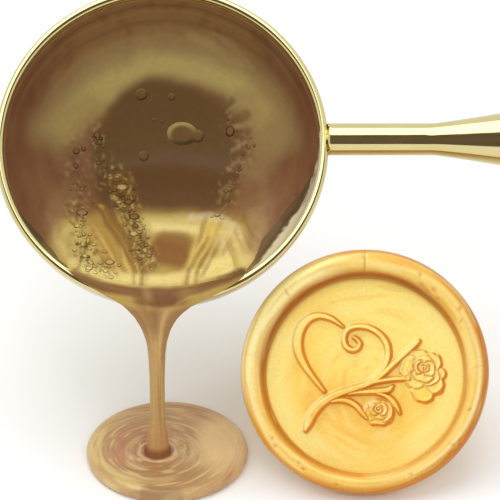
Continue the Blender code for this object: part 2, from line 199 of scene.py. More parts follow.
profile = [(0.0, NECK_ROOT)]
profile += oval((0.0, NECK_ROOT + ROOT_ROUND), NECK_RADIUS, ROOT_ROUND, -50.0, 0.0, 6)
profile += [(NECK_RADIUS, along) for along in np.linspace(NECK_ROOT + 2 * ROOT_ROUND, NECK_END, 12)[:-1]]
for share in np.linspace(0.0, 1.0, 40):
    radius = NECK_RADIUS + (FLARE_RADIUS - NECK_RADIUS) * share**FLARE_CURVE
    profile.append((radius, NECK_END + (FLARE_END - FERRULE_EDGE - NECK_END) * share))
edge_centre = (FLARE_RADIUS - FERRULE_EDGE, FLARE_END - FERRULE_EDGE)
profile += oval(edge_centre, FERRULE_EDGE, FERRULE_EDGE, 0.0, 90.0, 6)[1:]
profile += [(SOCKET_RADIUS, FLARE_END), (SOCKET_RADIUS, SOCKET_END), (0.0, SOCKET_END)]
neck = turn_on_lathe("spoon_neck_rod", profile, 72)
bpy.ops.object.shade_smooth_by_angle(angle=math.radians(40.0))
set_in_place(neck, ALONG_HANDLE, ROLL_CENTRE)
for vertex in neck.data.vertices:
    over_rim = (vertex.co - OPENING_CENTRE).dot(OPENING_UP) > -2 * BEAD_RADIUS
    on_outside = (vertex.co - ROLL_CENTRE).yz.length > 0.5 * NECK_RADIUS
    if over_rim and on_outside:
        vertex.co.x = max(vertex.co.x, RIM_SIDE)
neck.data.materials.append(gold_plate)
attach(neck, "spoon")
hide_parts("spoon_neck")


# Stud. A plain turned steel pin glued into the ferrule and the grip. It is hidden inside them, so the
# CAD piece stays and only gets its finish: fine rings left by the turning tool.
turned_steel, tree, shader = new_finish("turned_steel", {"Metallic": 1.0, "Roughness": 0.35})
coords = add_node(tree, "TexCoord", {})
tool_rings = add_node(
    tree, "TexWave",
    {"Vector": coords.outputs["Object"], "Scale": 0.5 / (0.3 * MM), "Distortion": 0.5},
    wave_type="BANDS", bands_direction="X",
)
tool_marks = add_node(
    tree, "Bump", {"Height": tool_rings.outputs["Fac"], "Strength": 0.2, "Distance": 0.02 * MM}
)
steel_tone = add_node(
    tree, "Mix", {0: tool_rings.outputs["Fac"], 6: linear("858583"), 7: linear("979795")}, data_type="RGBA"
)
feed(shader, {"Base Color": steel_tone, "Normal": tool_marks})
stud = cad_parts["handle_stud"]
for slot in stud.material_slots:
    slot.material = turned_steel


# Grip. Turned from one length of beech, swelling in the middle, with two fine lines cut beside the
# ferrule, then sanded and oiled. It is pushed onto the stud and glued.
GRIP_START = 49.75 * MM
GRIP_LENGTH = 66.0 * MM
GRIP_RADIUS = 5.7 * MM
TAIL_RADIUS = 4.0 * MM
GRIP_BORE_END = 70.05 * MM
LINE_DEPTH = 0.16 * MM
LINE_HALF_WIDTH = 0.35 * MM
LINE_PLACES = (2.6 * MM, 4.1 * MM)
EDGE_ROUND = 0.35 * MM

profile = [(0.0, GRIP_BORE_END), (SOCKET_RADIUS, GRIP_BORE_END), (SOCKET_RADIUS, GRIP_START)]
tail_centre = GRIP_START + GRIP_LENGTH - TAIL_RADIUS
for along in np.concatenate([np.linspace(0.0, 0.1, 50), np.linspace(0.1, 1.0, 60)[1:]]):
    distance = along * (tail_centre - GRIP_START)
    straight = FLARE_RADIUS + (TAIL_RADIUS - FLARE_RADIUS) * along
    radius = straight + (GRIP_RADIUS - (TAIL_RADIUS + FLARE_RADIUS) / 2) * math.sin(math.pi * along) ** 2
    for place in LINE_PLACES:
        radius -= LINE_DEPTH * math.exp(-(((distance - place) / LINE_HALF_WIDTH) ** 2) * 2)
    radius -= EDGE_ROUND * max(0.0, 1.0 - distance / EDGE_ROUND) ** 2
    profile.append((radius, GRIP_START + distance))
profile += oval((0.0, tail_centre), TAIL_RADIUS, TAIL_RADIUS, 0.0, 90.0, 16)[1:]
grip = turn_on_lathe("beech_grip", profile, 64)
bpy.ops.object.shade_smooth_by_angle(angle=math.radians(50.0))
set_in_place(grip, ALONG_HANDLE, ROLL_CENTRE)

# Oiled beech: warm straight grain along the handle, with the short dark flecks that beech shows.
oiled_beech, tree, shader = new_finish(
    "oiled_beech", {"Roughness": 0.42, "Coat Weight": 0.12, "Coat Roughness": 0.3}
)
coords = add_node(tree, "TexCoord", {})
grain_space = add_node(tree, "Mapping", {"Vector": coords.outputs["Object"], "Scale": (0.08, 1.0, 1.0)})
grain = add_node(
    tree, "TexNoise", {"Vector": grain_space, "Scale": 1 / (1.1 * MM), "Detail": 6.0, "Roughness": 0.6}
)
fleck_space = add_node(tree, "Mapping", {"Vector": coords.outputs["Object"], "Scale": (0.2, 1.0, 1.0)})
flecks = add_node(
    tree, "TexVoronoi", {"Vector": fleck_space, "Scale": 1 / (0.7 * MM), "Randomness": 1.0}, feature="F1"
)
fleck_mask = add_node(
    tree, "MapRange", {"Value": flecks, "From Min": 0.10, "From Max": 0.22, "To Min": 0.55, "To Max": 0.0}
)
grain_mask = add_node(tree, "MapRange", {"Value": grain, "From Min": 0.32, "From Max": 0.68})
wood_tone = add_node(tree, "Mix", {0: grain_mask, 6: linear("AE7C4A"), 7: linear("C99A66")}, data_type="RGBA")
flecked = add_node(tree, "Mix", {0: fleck_mask, 6: wood_tone, 7: linear("8A5C34")}, data_type="RGBA")
pores = add_node(tree, "Bump", {"Height": grain, "Strength": 0.25, "Distance": 0.08 * MM})
feed(shader, {"Base Color": flecked, "Normal": pores})
grip.data.materials.append(oiled_beech)
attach(grip, "spoon")
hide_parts("handle_grip")


# Molten wax in the bowl. Melted wax with gold pearl pigment lies level behind the lip and has left a thin
# film on the wall above, except beside the lip, where it drained off the polished metal.
POOL_LEVEL = 25.84 * MM
LIP = OPENING_CENTRE - BEAD_CIRCLE * OPENING_BACK
FILM = 0.14 * MM
BARE_SINK = 0.1 * MM
FILM_EDGE = -1.35 * MM
INTO_WALL = 0.3 * MM
MENISCUS = 1.0 * MM
LIP_DROP = 0.62 * MM
LIP_DROP_REACH = 1.7 * MM
CLIMB_FADE = 2.4
VIEW_DOWN = math.radians(33.8)

film_top = -math.degrees(math.asin(-(FILM_EDGE + BEAD_RADIUS) / INNER_DEPTH))
outer = oval((0.0, -BEAD_RADIUS), WALL_INNER + INTO_WALL, INNER_DEPTH + INTO_WALL, -90.0, film_top, 14)
inner = oval((0.0, -BEAD_RADIUS), WALL_INNER - FILM, INNER_DEPTH - FILM, film_top, -90.0, 150)
pool = turn_on_lathe("molten_wax_in_bowl", outer + inner, 450)
set_in_place(pool, (POUR_TILT, 0.0, 0.0), OPENING_CENTRE)


def read_points(piece):
    """The piece's vertices as rows of x, y, z."""
    points = np.empty(len(piece.data.vertices) * 3)
    piece.data.vertices.foreach_get("co", points)
    return points.reshape(-1, 3)


def move_points(piece, points):
    """Puts the piece's vertices at these points."""
    piece.data.vertices.foreach_set("co", points.ravel())
    piece.data.update()


def smooth_step(value):
    """A smooth climb from 0 to 1 as the value goes from 0 to 1, and level outside that."""
    value = np.clip(value, 0.0, 1.0)
    return value * value * (3.0 - 2.0 * value)


def ramp(value, start, end):
    """A smooth climb from 0 where the value is at its start to 1 where it is at its end."""
    return smooth_step((value - start) / (end - start))


def bell(distance, width):
    """1 at no distance, and nearly 0 from twice the width on."""
    return np.exp(-((distance / width) ** 2))


def ripple(points, size):
    """Smooth noise between about -1 and 1 whose bumps are size across."""
    return np.array([noise.noise(Vector(point) / size) for point in points])


def seen_from_front(points):
    """Millimetres across and up from the middle of the opening, as the pourer sees them."""
    across = (points[:, 0] - OPENING_CENTRE.x) / MM
    up = points[:, 1] * math.sin(VIEW_DOWN) + points[:, 2] * math.cos(VIEW_DOWN)
    centre_up = OPENING_CENTRE.y * math.sin(VIEW_DOWN) + OPENING_CENTRE.z * math.cos(VIEW_DOWN)
    return across, (up - centre_up) / MM


def spoon_place(points):
    """Distance from the bowl's axis, and height over the opening."""
    from_centre = points - np.array(OPENING_CENTRE)
    back = from_centre @ np.array(OPENING_BACK)
    return np.hypot(from_centre[:, 0], back), from_centre @ np.array(OPENING_UP)


# Edges of the bare metal beside the lip, as (millimetres up, millimetres across) from the opening's middle
RIGHT_EDGE = [
    (-19.0, 16.0), (-17.8, 11.8), (-16.6, 10.2), (-14.4, 11.3), (-11.8, 12.5), (-10.0, 14.0), (-6.9, 16.4),
    (-5.0, 17.9), (-3.4, 18.8), (-1.6, 19.4), (1.6, 19.9), (3.0, 22.0),
]
LEFT_EDGE = [
    (-19.0, -17.0), (-17.4, -12.8), (-16.2, -11.2), (-14.2, -12.9), (-11.8, -14.8), (-10.1, -16.3),
    (-8.0, -18.1), (-6.7, -19.2), (-5.5, -21.0),
]
EDGE_SOFTNESS = 0.5


def drawn_through(points, steps):
    """A smooth line through points, with steps samples between each two of them."""
    points = np.array(points)
    padded = np.vstack([2 * points[0] - points[1], points, 2 * points[-1] - points[-2]])
    samples = []
    for a, b, c, d in zip(padded, padded[1:], padded[2:], padded[3:]):
        for t in np.linspace(0.0, 1.0, steps, endpoint=False):
            bend = (2 * a - 5 * b + 4 * c - d) * t**2 + (3 * b - a - 3 * c + d) * t**3
            samples.append(0.5 * (2 * b + (c - a) * t + bend))
    return np.array(samples + [points[-1]])


def edge_at(up, edge):
    """How far across a smooth edge lies at each height."""
    curve = drawn_through(edge, 8)
    return np.interp(up, curve[:, 0], curve[:, 1])


def bare_wall(points, lead=0.0):
    """Where the wax has drained off the polished wall: 1 there, 0 under the film, fading over the lead."""
    across, up = seen_from_front(points)
    ragged = ripple(points, 1.4 * MM) * 0.25
    bare = np.zeros(len(points))
    for side, edge in ((1.0, RIGHT_EDGE), (-1.0, LEFT_EDGE)):
        past = side * (across - edge_at(up, edge)) + ragged + lead
        beside = (up > edge[0][0]) & (up < edge[-1][0])
        bare = np.maximum(bare, beside * smooth_step(past / (EDGE_SOFTNESS + lead)))
    return bare


# The wax is level in the bowl, drawn down towards the lip, and climbs the wall a little where it isn't bare
points = read_points(pool)
radius, height = spoon_place(points)
on_wall = (radius / WALL_INNER) ** 2 + ((height + BEAD_RADIUS) / INNER_DEPTH) ** 2 > 1.0
bare = bare_wall(points)
inward = np.array(OPENING_CENTRE) - points
inward /= np.linalg.norm(inward, axis=1)[:, None]
thin = np.where(on_wall, 0.0, bare * (FILM + BARE_SINK))
points -= inward * thin[:, None]
on_surface = np.column_stack([points[:, :2], np.full(len(points), POOL_LEVEL)])
to_rim = np.maximum(BEAD_CIRCLE - spoon_place(on_surface)[0], 0.0)
level = POOL_LEVEL - LIP_DROP * np.exp(-to_rim / LIP_DROP_REACH)
depth = (level - points[:, 2]) / MENISCUS
lift = MENISCUS * np.logaddexp(0.0, depth)
points[:, 2] += np.where(on_wall, 0.0, lift * (1.0 - bare_wall(points, CLIMB_FADE)))
move_points(pool, points)


def brush_line(across, up, line, half_width, soft):
    """A soft stroke along a line of (across, up) points: 1 on it and 0 away from it."""
    nearest = np.full(len(across), 1e9)
    for (x0, y0), (x1, y1) in zip(line, line[1:]):
        length = (x1 - x0) ** 2 + (y1 - y0) ** 2
        share = np.clip(((across - x0) * (x1 - x0) + (up - y0) * (y1 - y0)) / length, 0.0, 1.0)
        distance = np.hypot(across - x0 - share * (x1 - x0), up - y0 - share * (y1 - y0))
        nearest = np.minimum(nearest, distance)
    return smooth_step((half_width + soft - nearest) / soft)


def brush_patch(across, up, centre, half_width, half_height, soft):
    """A soft oval patch: 1 inside and 0 outside, with an edge soft millimetres wide."""
    share = np.hypot((across - centre[0]) / half_width, (up - centre[1]) / half_height)
    return smooth_step((1.0 - share) * min(half_width, half_height) / soft + 0.5)


def coated(tone, *coats):
    """Tones with coats of (mask, colour) laid over them in turn. One hex colour stands for an even tone."""
    if isinstance(tone, str):
        tone = np.tile(linear(tone)[:3], (len(coats[0][0]), 1))
    for mask, hex_colour in coats:
        tone = tone + (np.array(linear(hex_colour)[:3]) - tone) * mask[:, None]
    return tone


def brushed(tone, across, up, strokes):
    """Tones with soft strokes laid over them in turn."""
    for line, half_width, soft, colour, strength in strokes:
        tone = coated(tone, (strength * brush_line(across, up, line, half_width, soft), colour))
    return tone


# Soft strokes of the molten wax's tone, as (line of millimetres across and up, half width, softness, colour,
# strength). They follow the flow from the back of the bowl over the lip. These lay a pale painted highlight
# in an arc round the back of the bowl, with thin painted highlights at its upper right.
BACK_ARC_HIGHLIGHTS = [
    ([(-14.2, 2.2), (-11.2, 6.4), (-7.4, 9.4), (-2.9, 11.0), (1.0, 11.5), (4.8, 11.0), (9.2, 9.0),
      (12.8, 5.6), (14.6, 1.6)], 0.5, 4.2, "A28C5A", 0.85),
    ([(-12.6, 3.0), (-10.4, 5.2), (-6.6, 8.4), (-2.9, 10.0), (1.2, 10.4), (5.2, 9.8), (9.2, 7.6),
      (12.4, 4.2)], 0.4, 2.2, "B9A562", 0.8),
    ([(-12.6, 2.9), (-9.6, 4.6)], 0.8, 2.4, "9E8650", 0.65),
    ([(10.4, 5.2), (13.6, 1.2), (12.4, -2.6)], 0.4, 2.8, "9A7F50", 0.6),
    ([(3.6, 14.2), (6.4, 12.9), (9.8, 10.2)], 0.1, 0.7, "A38A5A", 0.6),
    ([(6.6, 14.0), (9.2, 12.4), (11.4, 10.0)], 0.05, 0.5, "9C8254", 0.5),
    ([(-9.0, 12.0), (-12.4, 8.6)], 0.1, 0.9, "99764A", 0.4),
]
# Ragged dark and pale edges of the dark painted reflection over the pool.
FEATHERS = [
    ([(7.4, 3.4), (9.0, 5.4)], 0.15, 0.8, "6A4D2C", 0.6),
    ([(8.4, 2.4), (10.6, 4.2)], 0.1, 0.75, "6A4D2C", 0.6),
    ([(8.9, 1.0), (11.0, 2.2)], 0.05, 0.65, "6E502E", 0.55),
    ([(8.2, 4.2), (9.6, 5.0)], 0.05, 0.4, "A99362", 0.5),
    ([(9.0, 2.2), (11.0, 3.2)], 0.05, 0.4, "A99362", 0.5),
    ([(9.0, -0.4), (10.4, 0.6)], 0.05, 0.4, "A68E60", 0.5),
    ([(8.2, -3.0), (9.4, -2.0)], 0.05, 0.4, "A68E60", 0.4),
    ([(7.4, -6.4), (8.6, -5.2)], 0.08, 0.5, "9E8557", 0.5),
]
# Thin arcs left on the wall as the wax went down, as (millimetres under the opening, half width, colour,
# strength)
TIDE_LINES = [
    (3.0, 0.35, "68472C", 0.5), (4.3, 0.3, "94734A", 0.4), (6.2, 0.4, "6E4E2F", 0.4),
    (8.4, 0.35, "9A7C4C", 0.3),
]
# Lines along which the foam drifts, as (points of millimetres across and up)
FOAM_PATHS = [
    [(-6.0, -4.0), (-4.6, -7.6), (-3.4, -11.0), (-1.9, -14.6)],
    [(-10.9, -8.4), (-10.2, -11.4), (-9.2, -13.6)],
    [(-10.2, -13.6), (-9.0, -15.4), (-6.4, -16.0)],
    [(-8.8, 1.8), (-8.2, -1.6), (-7.2, -4.8)],
    [(-11.6, 0.2), (-11.2, -4.2), (-10.2, -6.4)],
    [(9.0, 3.4), (10.8, -0.2), (9.4, -3.4), (7.8, -7.2)],
]
FOAM_STRENGTHS = (0.6, 0.5, 0.5, 0.25, 0.2, 0.18)
# Streaks in the gold tongue and over the lip, and painted reflections: a pale band across the pool with a
# brown patch under it, pale patches on the right, a bright band along the lip, and a dark band and patch just
# past it.
LIP_STREAKS_AND_REFLECTIONS = [
    ([(-11.8, -12.4), (-11.0, -14.6)], 0.9, 2.6, "CDB56A", 0.85),
    ([(-8.6, -10.4), (-6.3, -13.2), (-4.0, -15.6)], 0.9, 1.4, "AC8844", 0.85),
    ([(-8.6, -7.6), (-5.4, -12.2), (-2.5, -16.6)], 0.15, 0.5, "7D5A2C", 0.8),
    ([(-7.9, -7.8), (-4.8, -12.2), (-2.1, -16.9)], 0.1, 0.45, "BE9B50", 0.7),
    ([(-7.3, -8.2), (-4.2, -12.6), (-1.7, -17.2)], 0.25, 0.5, "7A562A", 0.8),
    ([(-5.6, -4.6), (-4.2, -8.4), (-3.0, -12.0), (-1.7, -15.0)], 0.6, 1.5, "866432", 0.75),
    ([(-2.0, -10.2), (2.0, -10.2), (5.0, -10.6)], 0.35, 1.5, "D2BC74", 0.9),
    ([(-1.2, -10.5), (2.0, -10.6), (4.4, -10.9)], 0.1, 0.7, "E6D288", 0.8),
    ([(0.2, -12.4), (2.6, -12.6)], 0.6, 1.3, "8A6334", 0.9),
    ([(0.0, -13.8), (2.0, -14.2)], 0.9, 1.3, "875B31", 0.95),
    ([(6.4, -10.2), (4.9, -13.2), (3.3, -17.2)], 0.4, 0.8, "D8BA62", 0.8),
    ([(7.7, -11.0), (6.1, -14.0), (4.5, -17.2)], 0.25, 0.7, "C8AA58", 0.75),
    ([(6.0, -12.0), (4.3, -14.6), (2.8, -17.4)], 0.06, 0.45, "94703A", 0.75),
    ([(7.4, -12.0), (5.5, -14.8), (4.4, -17.2)], 0.12, 0.5, "8F6B34", 0.8),
    ([(8.3, -11.6), (6.6, -14.6), (5.2, -17.0)], 0.06, 0.42, "A5854A", 0.7),
    ([(9.3, -12.4), (9.8, -14.4)], 0.9, 2.2, "E4CA86", 0.95),
    ([(6.6, -15.6), (9.4, -15.2)], 0.4, 1.5, "EBD684", 0.9),
    ([(3.6, -9.4), (5.6, -9.1), (7.6, -9.7), (9.6, -10.8)], 0.1, 0.8, "E2D2A0", 0.5),
    ([(12.2, -9.6), (11.6, -12.6)], 0.5, 1.6, "AC8E60", 0.7),
    ([(-11.2, -15.2), (-8.0, -16.6), (-5.5, -17.0), (-3.5, -17.2), (0.3, -17.3), (4.8, -16.6),
      (8.6, -15.6)], 0.3, 0.9, "E6D083", 0.9),
    ([(-11.0, -16.5), (-7.0, -18.2), (-3.5, -18.6), (1.0, -18.9), (4.8, -18.3), (8.6, -17.0),
      (10.2, -16.2)], 0.3, 0.6, "744C29", 0.9),
    ([(-2.6, -19.4), (-0.3, -20.0), (2.2, -19.6)], 0.5, 0.8, "74492E", 0.9),
    ([(-2.5, -15.2), (-2.3, -18.2), (-2.0, -21.5)], 0.08, 0.4, "8A6638", 0.75),
    ([(-1.8, -15.8), (-1.7, -18.4), (-1.5, -21.5)], 0.05, 0.35, "C8AC6C", 0.3),
    ([(-3.5, -16.0), (-3.2, -18.6), (-2.8, -21.0)], 0.05, 0.35, "9A7644", 0.6),
    ([(3.4, -16.0), (3.0, -18.4), (2.4, -21.2)], 0.08, 0.4, "94703E", 0.7),
    ([(2.7, -16.4), (2.4, -18.6), (2.0, -21.4)], 0.05, 0.35, "C8AC6C", 0.3),
    ([(4.6, -16.2), (4.1, -18.4), (3.4, -20.6)], 0.05, 0.35, "94703E", 0.55),
]
FLOW_END = (0.4, -25.0)


def wax_tones(points):
    """Colour of the molten wax, with painted reflections: dark over the pool, a pale arc behind, bands at the
    lip.
    """
    across, up = seen_from_front(points)
    wander = ripple(points, 3.5 * MM)
    drift = ripple(points + 0.1, 3.5 * MM)
    shiver = ripple(points + 0.2, 1.1 * MM)
    calm = 0.2 + 0.8 * ramp(up, -16.0, -4.0)
    across = across + calm * (0.6 * wander + 0.05 * shiver)
    up = up + calm * (0.6 * drift - 0.05 * shiver)
    tone = coated("805A3A", (0.8 * brush_patch(across, up, (1.0, 14.5), 13.0, 5.5, 5.0), "8B683E"))
    for side in (-16.0, 16.0):
        tone = coated(
            tone,
            (0.8 * brush_patch(across, up, (side, 3.5), 3.4, 6.0, 3.5), "7A4E36"),
            (0.7 * brush_patch(across, up, (side, -6.5), 3.8, 5.5, 3.5), "865C40"),
        )
    runs = ripple(points * (1.0, 0.4, 0.4) + 0.3, 1.6 * MM)
    tone = coated(tone, (0.45 * ramp(runs, 0.05, 0.45), "8A6642"), (0.45 * ramp(-runs, 0.05, 0.45), "724A30"))
    _, height = spoon_place(points)
    for depth, width, colour, strength in TIDE_LINES:
        tide = bell(height / MM + depth + 0.4 * wander, width) * ramp(up, 2.0, 8.0)
        tone = coated(tone, (strength * tide, colour))
    tone = brushed(tone, across, up, BACK_ARC_HIGHLIGHTS)
    # The dark middle of the pool is a painted reflection, darker towards the front.
    dome = brush_patch(across, up, (0.2, -1.6), 9.4, 10.4, 2.0) * ramp(up, -10.0, -7.0)
    tone = coated(tone, (dome, "6B4F2D"), (0.6 * dome * ramp(up, 1.0, -5.0), "64452B"))
    tone = brushed(tone, across, up, FEATHERS)
    beside = np.abs(across + 0.3)
    shoulders = ramp(up, -3.5, -8.5) * ramp(beside, 8.0, 12.0) * ramp(beside, 15.5, 13.0)
    edge_left = np.interp(up, [-17.0, -9.0, -7.0], [-12.6, -13.4, -12.6])
    edge_right = np.interp(up, [-17.0, -11.0, -7.0], [10.6, 13.0, 12.0])
    tongue = ramp(up + 0.08 * np.abs(across), -7.2, -10.4)
    tongue *= ramp(across - edge_left, -1.2, 1.8) * ramp(edge_right - across, -1.2, 1.8)
    tone = coated(tone, (0.75 * shoulders, "93734A"), (tongue, "B3954F"))
    tone = brushed(tone, across, up, LIP_STREAKS_AND_REFLECTIONS)
    bearing = np.arctan2(across - FLOW_END[0], up - FLOW_END[1])
    reach = np.hypot(across - FLOW_END[0], up - FLOW_END[1])
    flat = np.zeros(len(bearing))
    threads = ripple(np.column_stack([bearing * 26.0, reach * 0.16, flat]), 1.0)
    froth = ripple(np.column_stack([bearing * 44.0, reach * 1.3, flat]), 1.0)
    threaded = 0.5 * tongue * ramp(np.abs(across - 1.0), 2.0, 4.0) * ramp(np.abs(across), 10.0, 7.0)
    threaded *= ramp(up, -17.6, -16.1)
    tone = coated(
        tone, (threaded * ramp(threads, 0.1, 0.4), "DCC06C"), (threaded * ramp(-threads, 0.1, 0.4), "86642F")
    )
    for line, strength in zip(FOAM_PATHS, FOAM_STRENGTHS):
        foam = strength * brush_line(across, up, line, 0.7, 1.4)
        tone = coated(
            tone, (foam * ramp(froth, 0.12, 0.37), "C2AC6A"), (foam * ramp(-froth, 0.12, 0.37), "5E4322")
        )
    return tone


def paint(piece, name, values, alpha=1.0):
    """Keeps a colour for each vertex, which the piece's finish reads by this name."""
    attribute = piece.data.color_attributes.new(name, "FLOAT_COLOR", "POINT")
    with_alpha = np.column_stack([values, alpha * np.ones(len(values))])
    attribute.data.foreach_set("color", with_alpha.ravel().astype(np.float32))


paint(pool, "wax_tone", wax_tones(read_points(pool)))

# The drained wall is dulled by a haze of wax, and the colour painted on it is shade and reflection: a dark
# painted reflection on the left, and on the right brown painted shade beside the film, then a pale painted
# highlight up to the rim past a thin dark line. The pale part starts at this edge, as (mm up, mm across).
PALE_EDGE = [
    (-16.3, 10.9), (-15.3, 11.9), (-13.3, 13.5), (-11.8, 14.6), (-9.2, 16.5), (-7.6, 17.7), (-4.9, 18.8),
    (-3.7, 19.2),
]
points = read_points(bowl)
radius, height = spoon_place(points)
inside = (radius / WALL_INNER) ** 2 + ((height + BEAD_RADIUS) / INNER_DEPTH) ** 2 < 1.02
across, up = seen_from_front(points)
past_edge = across - edge_at(up, PALE_EDGE) - 0.3 * ripple(points, 0.6 * MM)
haze_and_reflection_tone = coated(
    "6C4F34",
    (0.9 * (across < 0.0), "2A221A"),
    (0.8 * bell(past_edge + 0.3, 0.35), "2A221A"),
    (ramp(past_edge, 0.0, 0.4), "FBF5D2"),
)
paint(bowl, "wall_haze_and_reflection", haze_and_reflection_tone, 0.9 * bare_wall(points) * inside)
paint(neck, "wall_haze_and_reflection", np.zeros((len(neck.data.vertices), 3)), 0.0)


def pearl_finish(name, flake_size, tone_range, gloss_range, skin, shader_values):
    """Wax with pearl pigment: tones and roughness vary with the flakes, which can raise the skin a little."""
    finish, tree, shader = new_finish(name, {"IOR": 1.45, **shader_values})
    coords = add_node(tree, "TexCoord", {})
    tones = add_node(tree, "Attribute", {}, attribute_name="wax_tone")
    flakes = add_node(
        tree, "TexNoise", {"Vector": coords.outputs["Object"], "Scale": 1 / flake_size, "Detail": 3.0}
    )
    flake_range = {"Value": flakes, "From Min": 0.3, "From Max": 0.7}
    cloud = add_node(tree, "MapRange", {**flake_range, "To Min": tone_range[0], "To Max": tone_range[1]})
    gloss = add_node(tree, "MapRange", {**flake_range, "To Min": gloss_range[0], "To Max": gloss_range[1]})
    clouded = add_node(tree, "VectorMath", {0: tones, "Scale": cloud}, operation="SCALE")
    feed(shader, {"Base Color": clouded, "Roughness": gloss})
    if skin:
        bumps = add_node(tree, "Bump", {"Height": flakes, "Strength": skin, "Distance": 0.05 * MM})
        feed(shader, {"Normal": bumps})
    return finish


# Molten wax with gold pearl pigment: an opaque brown gold with a wet skin, clouded by the flakes in it.
molten_wax = pearl_finish(
    "molten_pearl_wax", 0.7 * MM, (0.95, 1.05), (0.36, 0.5), 0.0,
    {"Coat Weight": 0.03, "Coat Roughness": 0.2, "Specular IOR Level": 0.15},
)
pool.data.materials.append(molten_wax)
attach(pool, "spoon")
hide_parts("wax_pool")


# Wax over the lip. The same wax leaves the pool as a sheet, bends round the rim's bead, narrows as it
# falls and lands as a thread with a spread foot. One skin runs from the pool to the puddle.
BEAD_CENTRE = LIP - BEAD_RADIUS * OPENING_UP
SHEET_HALF = 0.5 * MM
SHEET_SINK = 0.06 * MM
SHEET_BACK = 4.5
SHEET_MIDDLE = -1.45
SHEET_HALF_WIDTH = 11.4
POOL_NARROWING = 4.5
LIP_NARROWING = 5.3
LIP_SHIFT = 0.4
FOOT_HEIGHT = 1.2
RING = 72
# Fall of the wax as (height, middle across, half width, half thickness), in millimetres
FALL = [
    (23.7, -1.05, 5.9, 0.50), (23.2, -1.15, 4.3, 0.58), (22.6, -1.2, 3.4, 0.66), (21.9, -1.2, 2.67, 0.74),
    (21.0, -1.2, 2.12, 0.82), (20.15, -1.18, 1.74, 0.88), (18.6, -1.15, 1.31, 0.94),
    (16.8, -1.15, 1.10, 0.96), (13.3, -1.15, 0.96, 0.94), (8.7, -1.15, 0.94, 0.94),
    (6.2, -1.16, 1.02, 1.02), (4.4, -1.18, 1.27, 1.27), (3.1, -1.2, 1.45, 1.45), (2.3, -1.2, 1.58, 1.58),
    (1.7, -1.2, 1.75, 1.75), (FOOT_HEIGHT, -1.2, 1.9, 1.9),
]
STREAM_Y = -1.2 * MM


def rim_setback(across):
    """How far the round rim lies behind the lip at this distance to one side."""
    return BEAD_CIRCLE - np.sqrt(BEAD_CIRCLE**2 - across**2)


def sheet_ring(middle, normal, half_width, half_thickness, bend, droop):
    """One closed section of the sheet: a flat oval, bent back along the rim, whose ends droop onto it."""
    angles = np.linspace(0.0, 2 * math.pi, RING + 1)
    across = half_width * np.cos(angles)
    ring = np.array(middle) + np.outer(across, (1.0, 0.0, 0.0))
    ring += np.outer(half_thickness * (np.sin(angles) - droop * np.cos(angles) ** 4), np.array(normal))
    return ring + np.outer(rim_setback(middle[0] - LIP.x + across), np.array(bend))


rings = []
wrap = BEAD_RADIUS + SHEET_HALF - SHEET_SINK
for back in np.linspace(SHEET_BACK, 0.4, 10):
    share = back / SHEET_BACK
    place = Vector((SHEET_MIDDLE * MM, BEAD_CENTRE.y + back * MM, 0.0))
    level = POOL_LEVEL - LIP_DROP * math.exp(-back * MM / LIP_DROP_REACH)
    top = BEAD_CENTRE.z + wrap + SHEET_HALF
    place.z = min(level, level * share + top * (1.0 - share)) - SHEET_HALF - 0.1 * MM * share
    bend = OPENING_BACK.lerp(Vector((0.0, 1.0, 0.0)), share)
    half_width = (SHEET_HALF_WIDTH - POOL_NARROWING * share) * MM
    rings.append(sheet_ring(place, Vector((0.0, 0.0, 1.0)), half_width, SHEET_HALF, bend, 1.0))
for share in np.linspace(0.0, 1.0, 14):
    turn = math.radians(90.0) * share
    normal = Vector((0.0, -math.sin(turn), math.cos(turn)))
    place = BEAD_CENTRE + normal * wrap
    place.x = (SHEET_MIDDLE + LIP_SHIFT * share) * MM
    half_width = (SHEET_HALF_WIDTH - LIP_NARROWING * share**2) * MM
    rings.append(sheet_ring(place, normal, half_width, SHEET_HALF, OPENING_BACK, 1.0 - share**4))
fall = np.array(FALL)[::-1] * MM
drape_y = BEAD_CENTRE.y - wrap
stations = [np.linspace(*span) for span in ((23.6, 16.8, 36), (16.5, 4.4, 40), (4.2, FOOT_HEIGHT, 20))]
for height in np.concatenate(stations) * MM:
    middle, half_width, half_thickness = (np.interp(height, fall[:, 0], fall[:, k]) for k in (1, 2, 3))
    share = (BEAD_CENTRE.z - height) / (BEAD_CENTRE.z - FOOT_HEIGHT * MM)
    place = Vector((middle, STREAM_Y + (drape_y - STREAM_Y) * math.exp(-6.0 * share), height))
    bend = OPENING_BACK * math.exp(-((share / 0.09) ** 2))
    rings.append(sheet_ring(place, Vector((0.0, -1.0, 0.0)), half_width, half_thickness, bend, 0.0))


def loft(name, rings):
    """Rolls a flat grid into a tube through closed sections and closes its ends."""
    rings = np.array(rings)
    stations, around = rings.shape[:2]
    bpy.ops.mesh.primitive_grid_add(x_subdivisions=around - 1, y_subdivisions=stations - 1, size=1.0)
    piece = bpy.context.object
    piece.name = name
    piece.data.name = name
    flat = read_points(piece)
    column = np.rint((flat[:, 0] + 0.5) * (around - 1)).astype(int)
    row = np.rint((flat[:, 1] + 0.5) * (stations - 1)).astype(int)
    move_points(piece, rings[row, column])
    bpy.ops.object.mode_set(mode="EDIT")
    bpy.ops.mesh.select_all(action="SELECT")
    bpy.ops.mesh.remove_doubles(threshold=MERGE)
    bpy.ops.mesh.fill_holes(sides=0)
    bpy.ops.mesh.select_all(action="SELECT")
    bpy.ops.mesh.normals_make_consistent(inside=False)
    bpy.ops.object.mode_set(mode="OBJECT")
    bpy.ops.object.shade_smooth()
    return piece


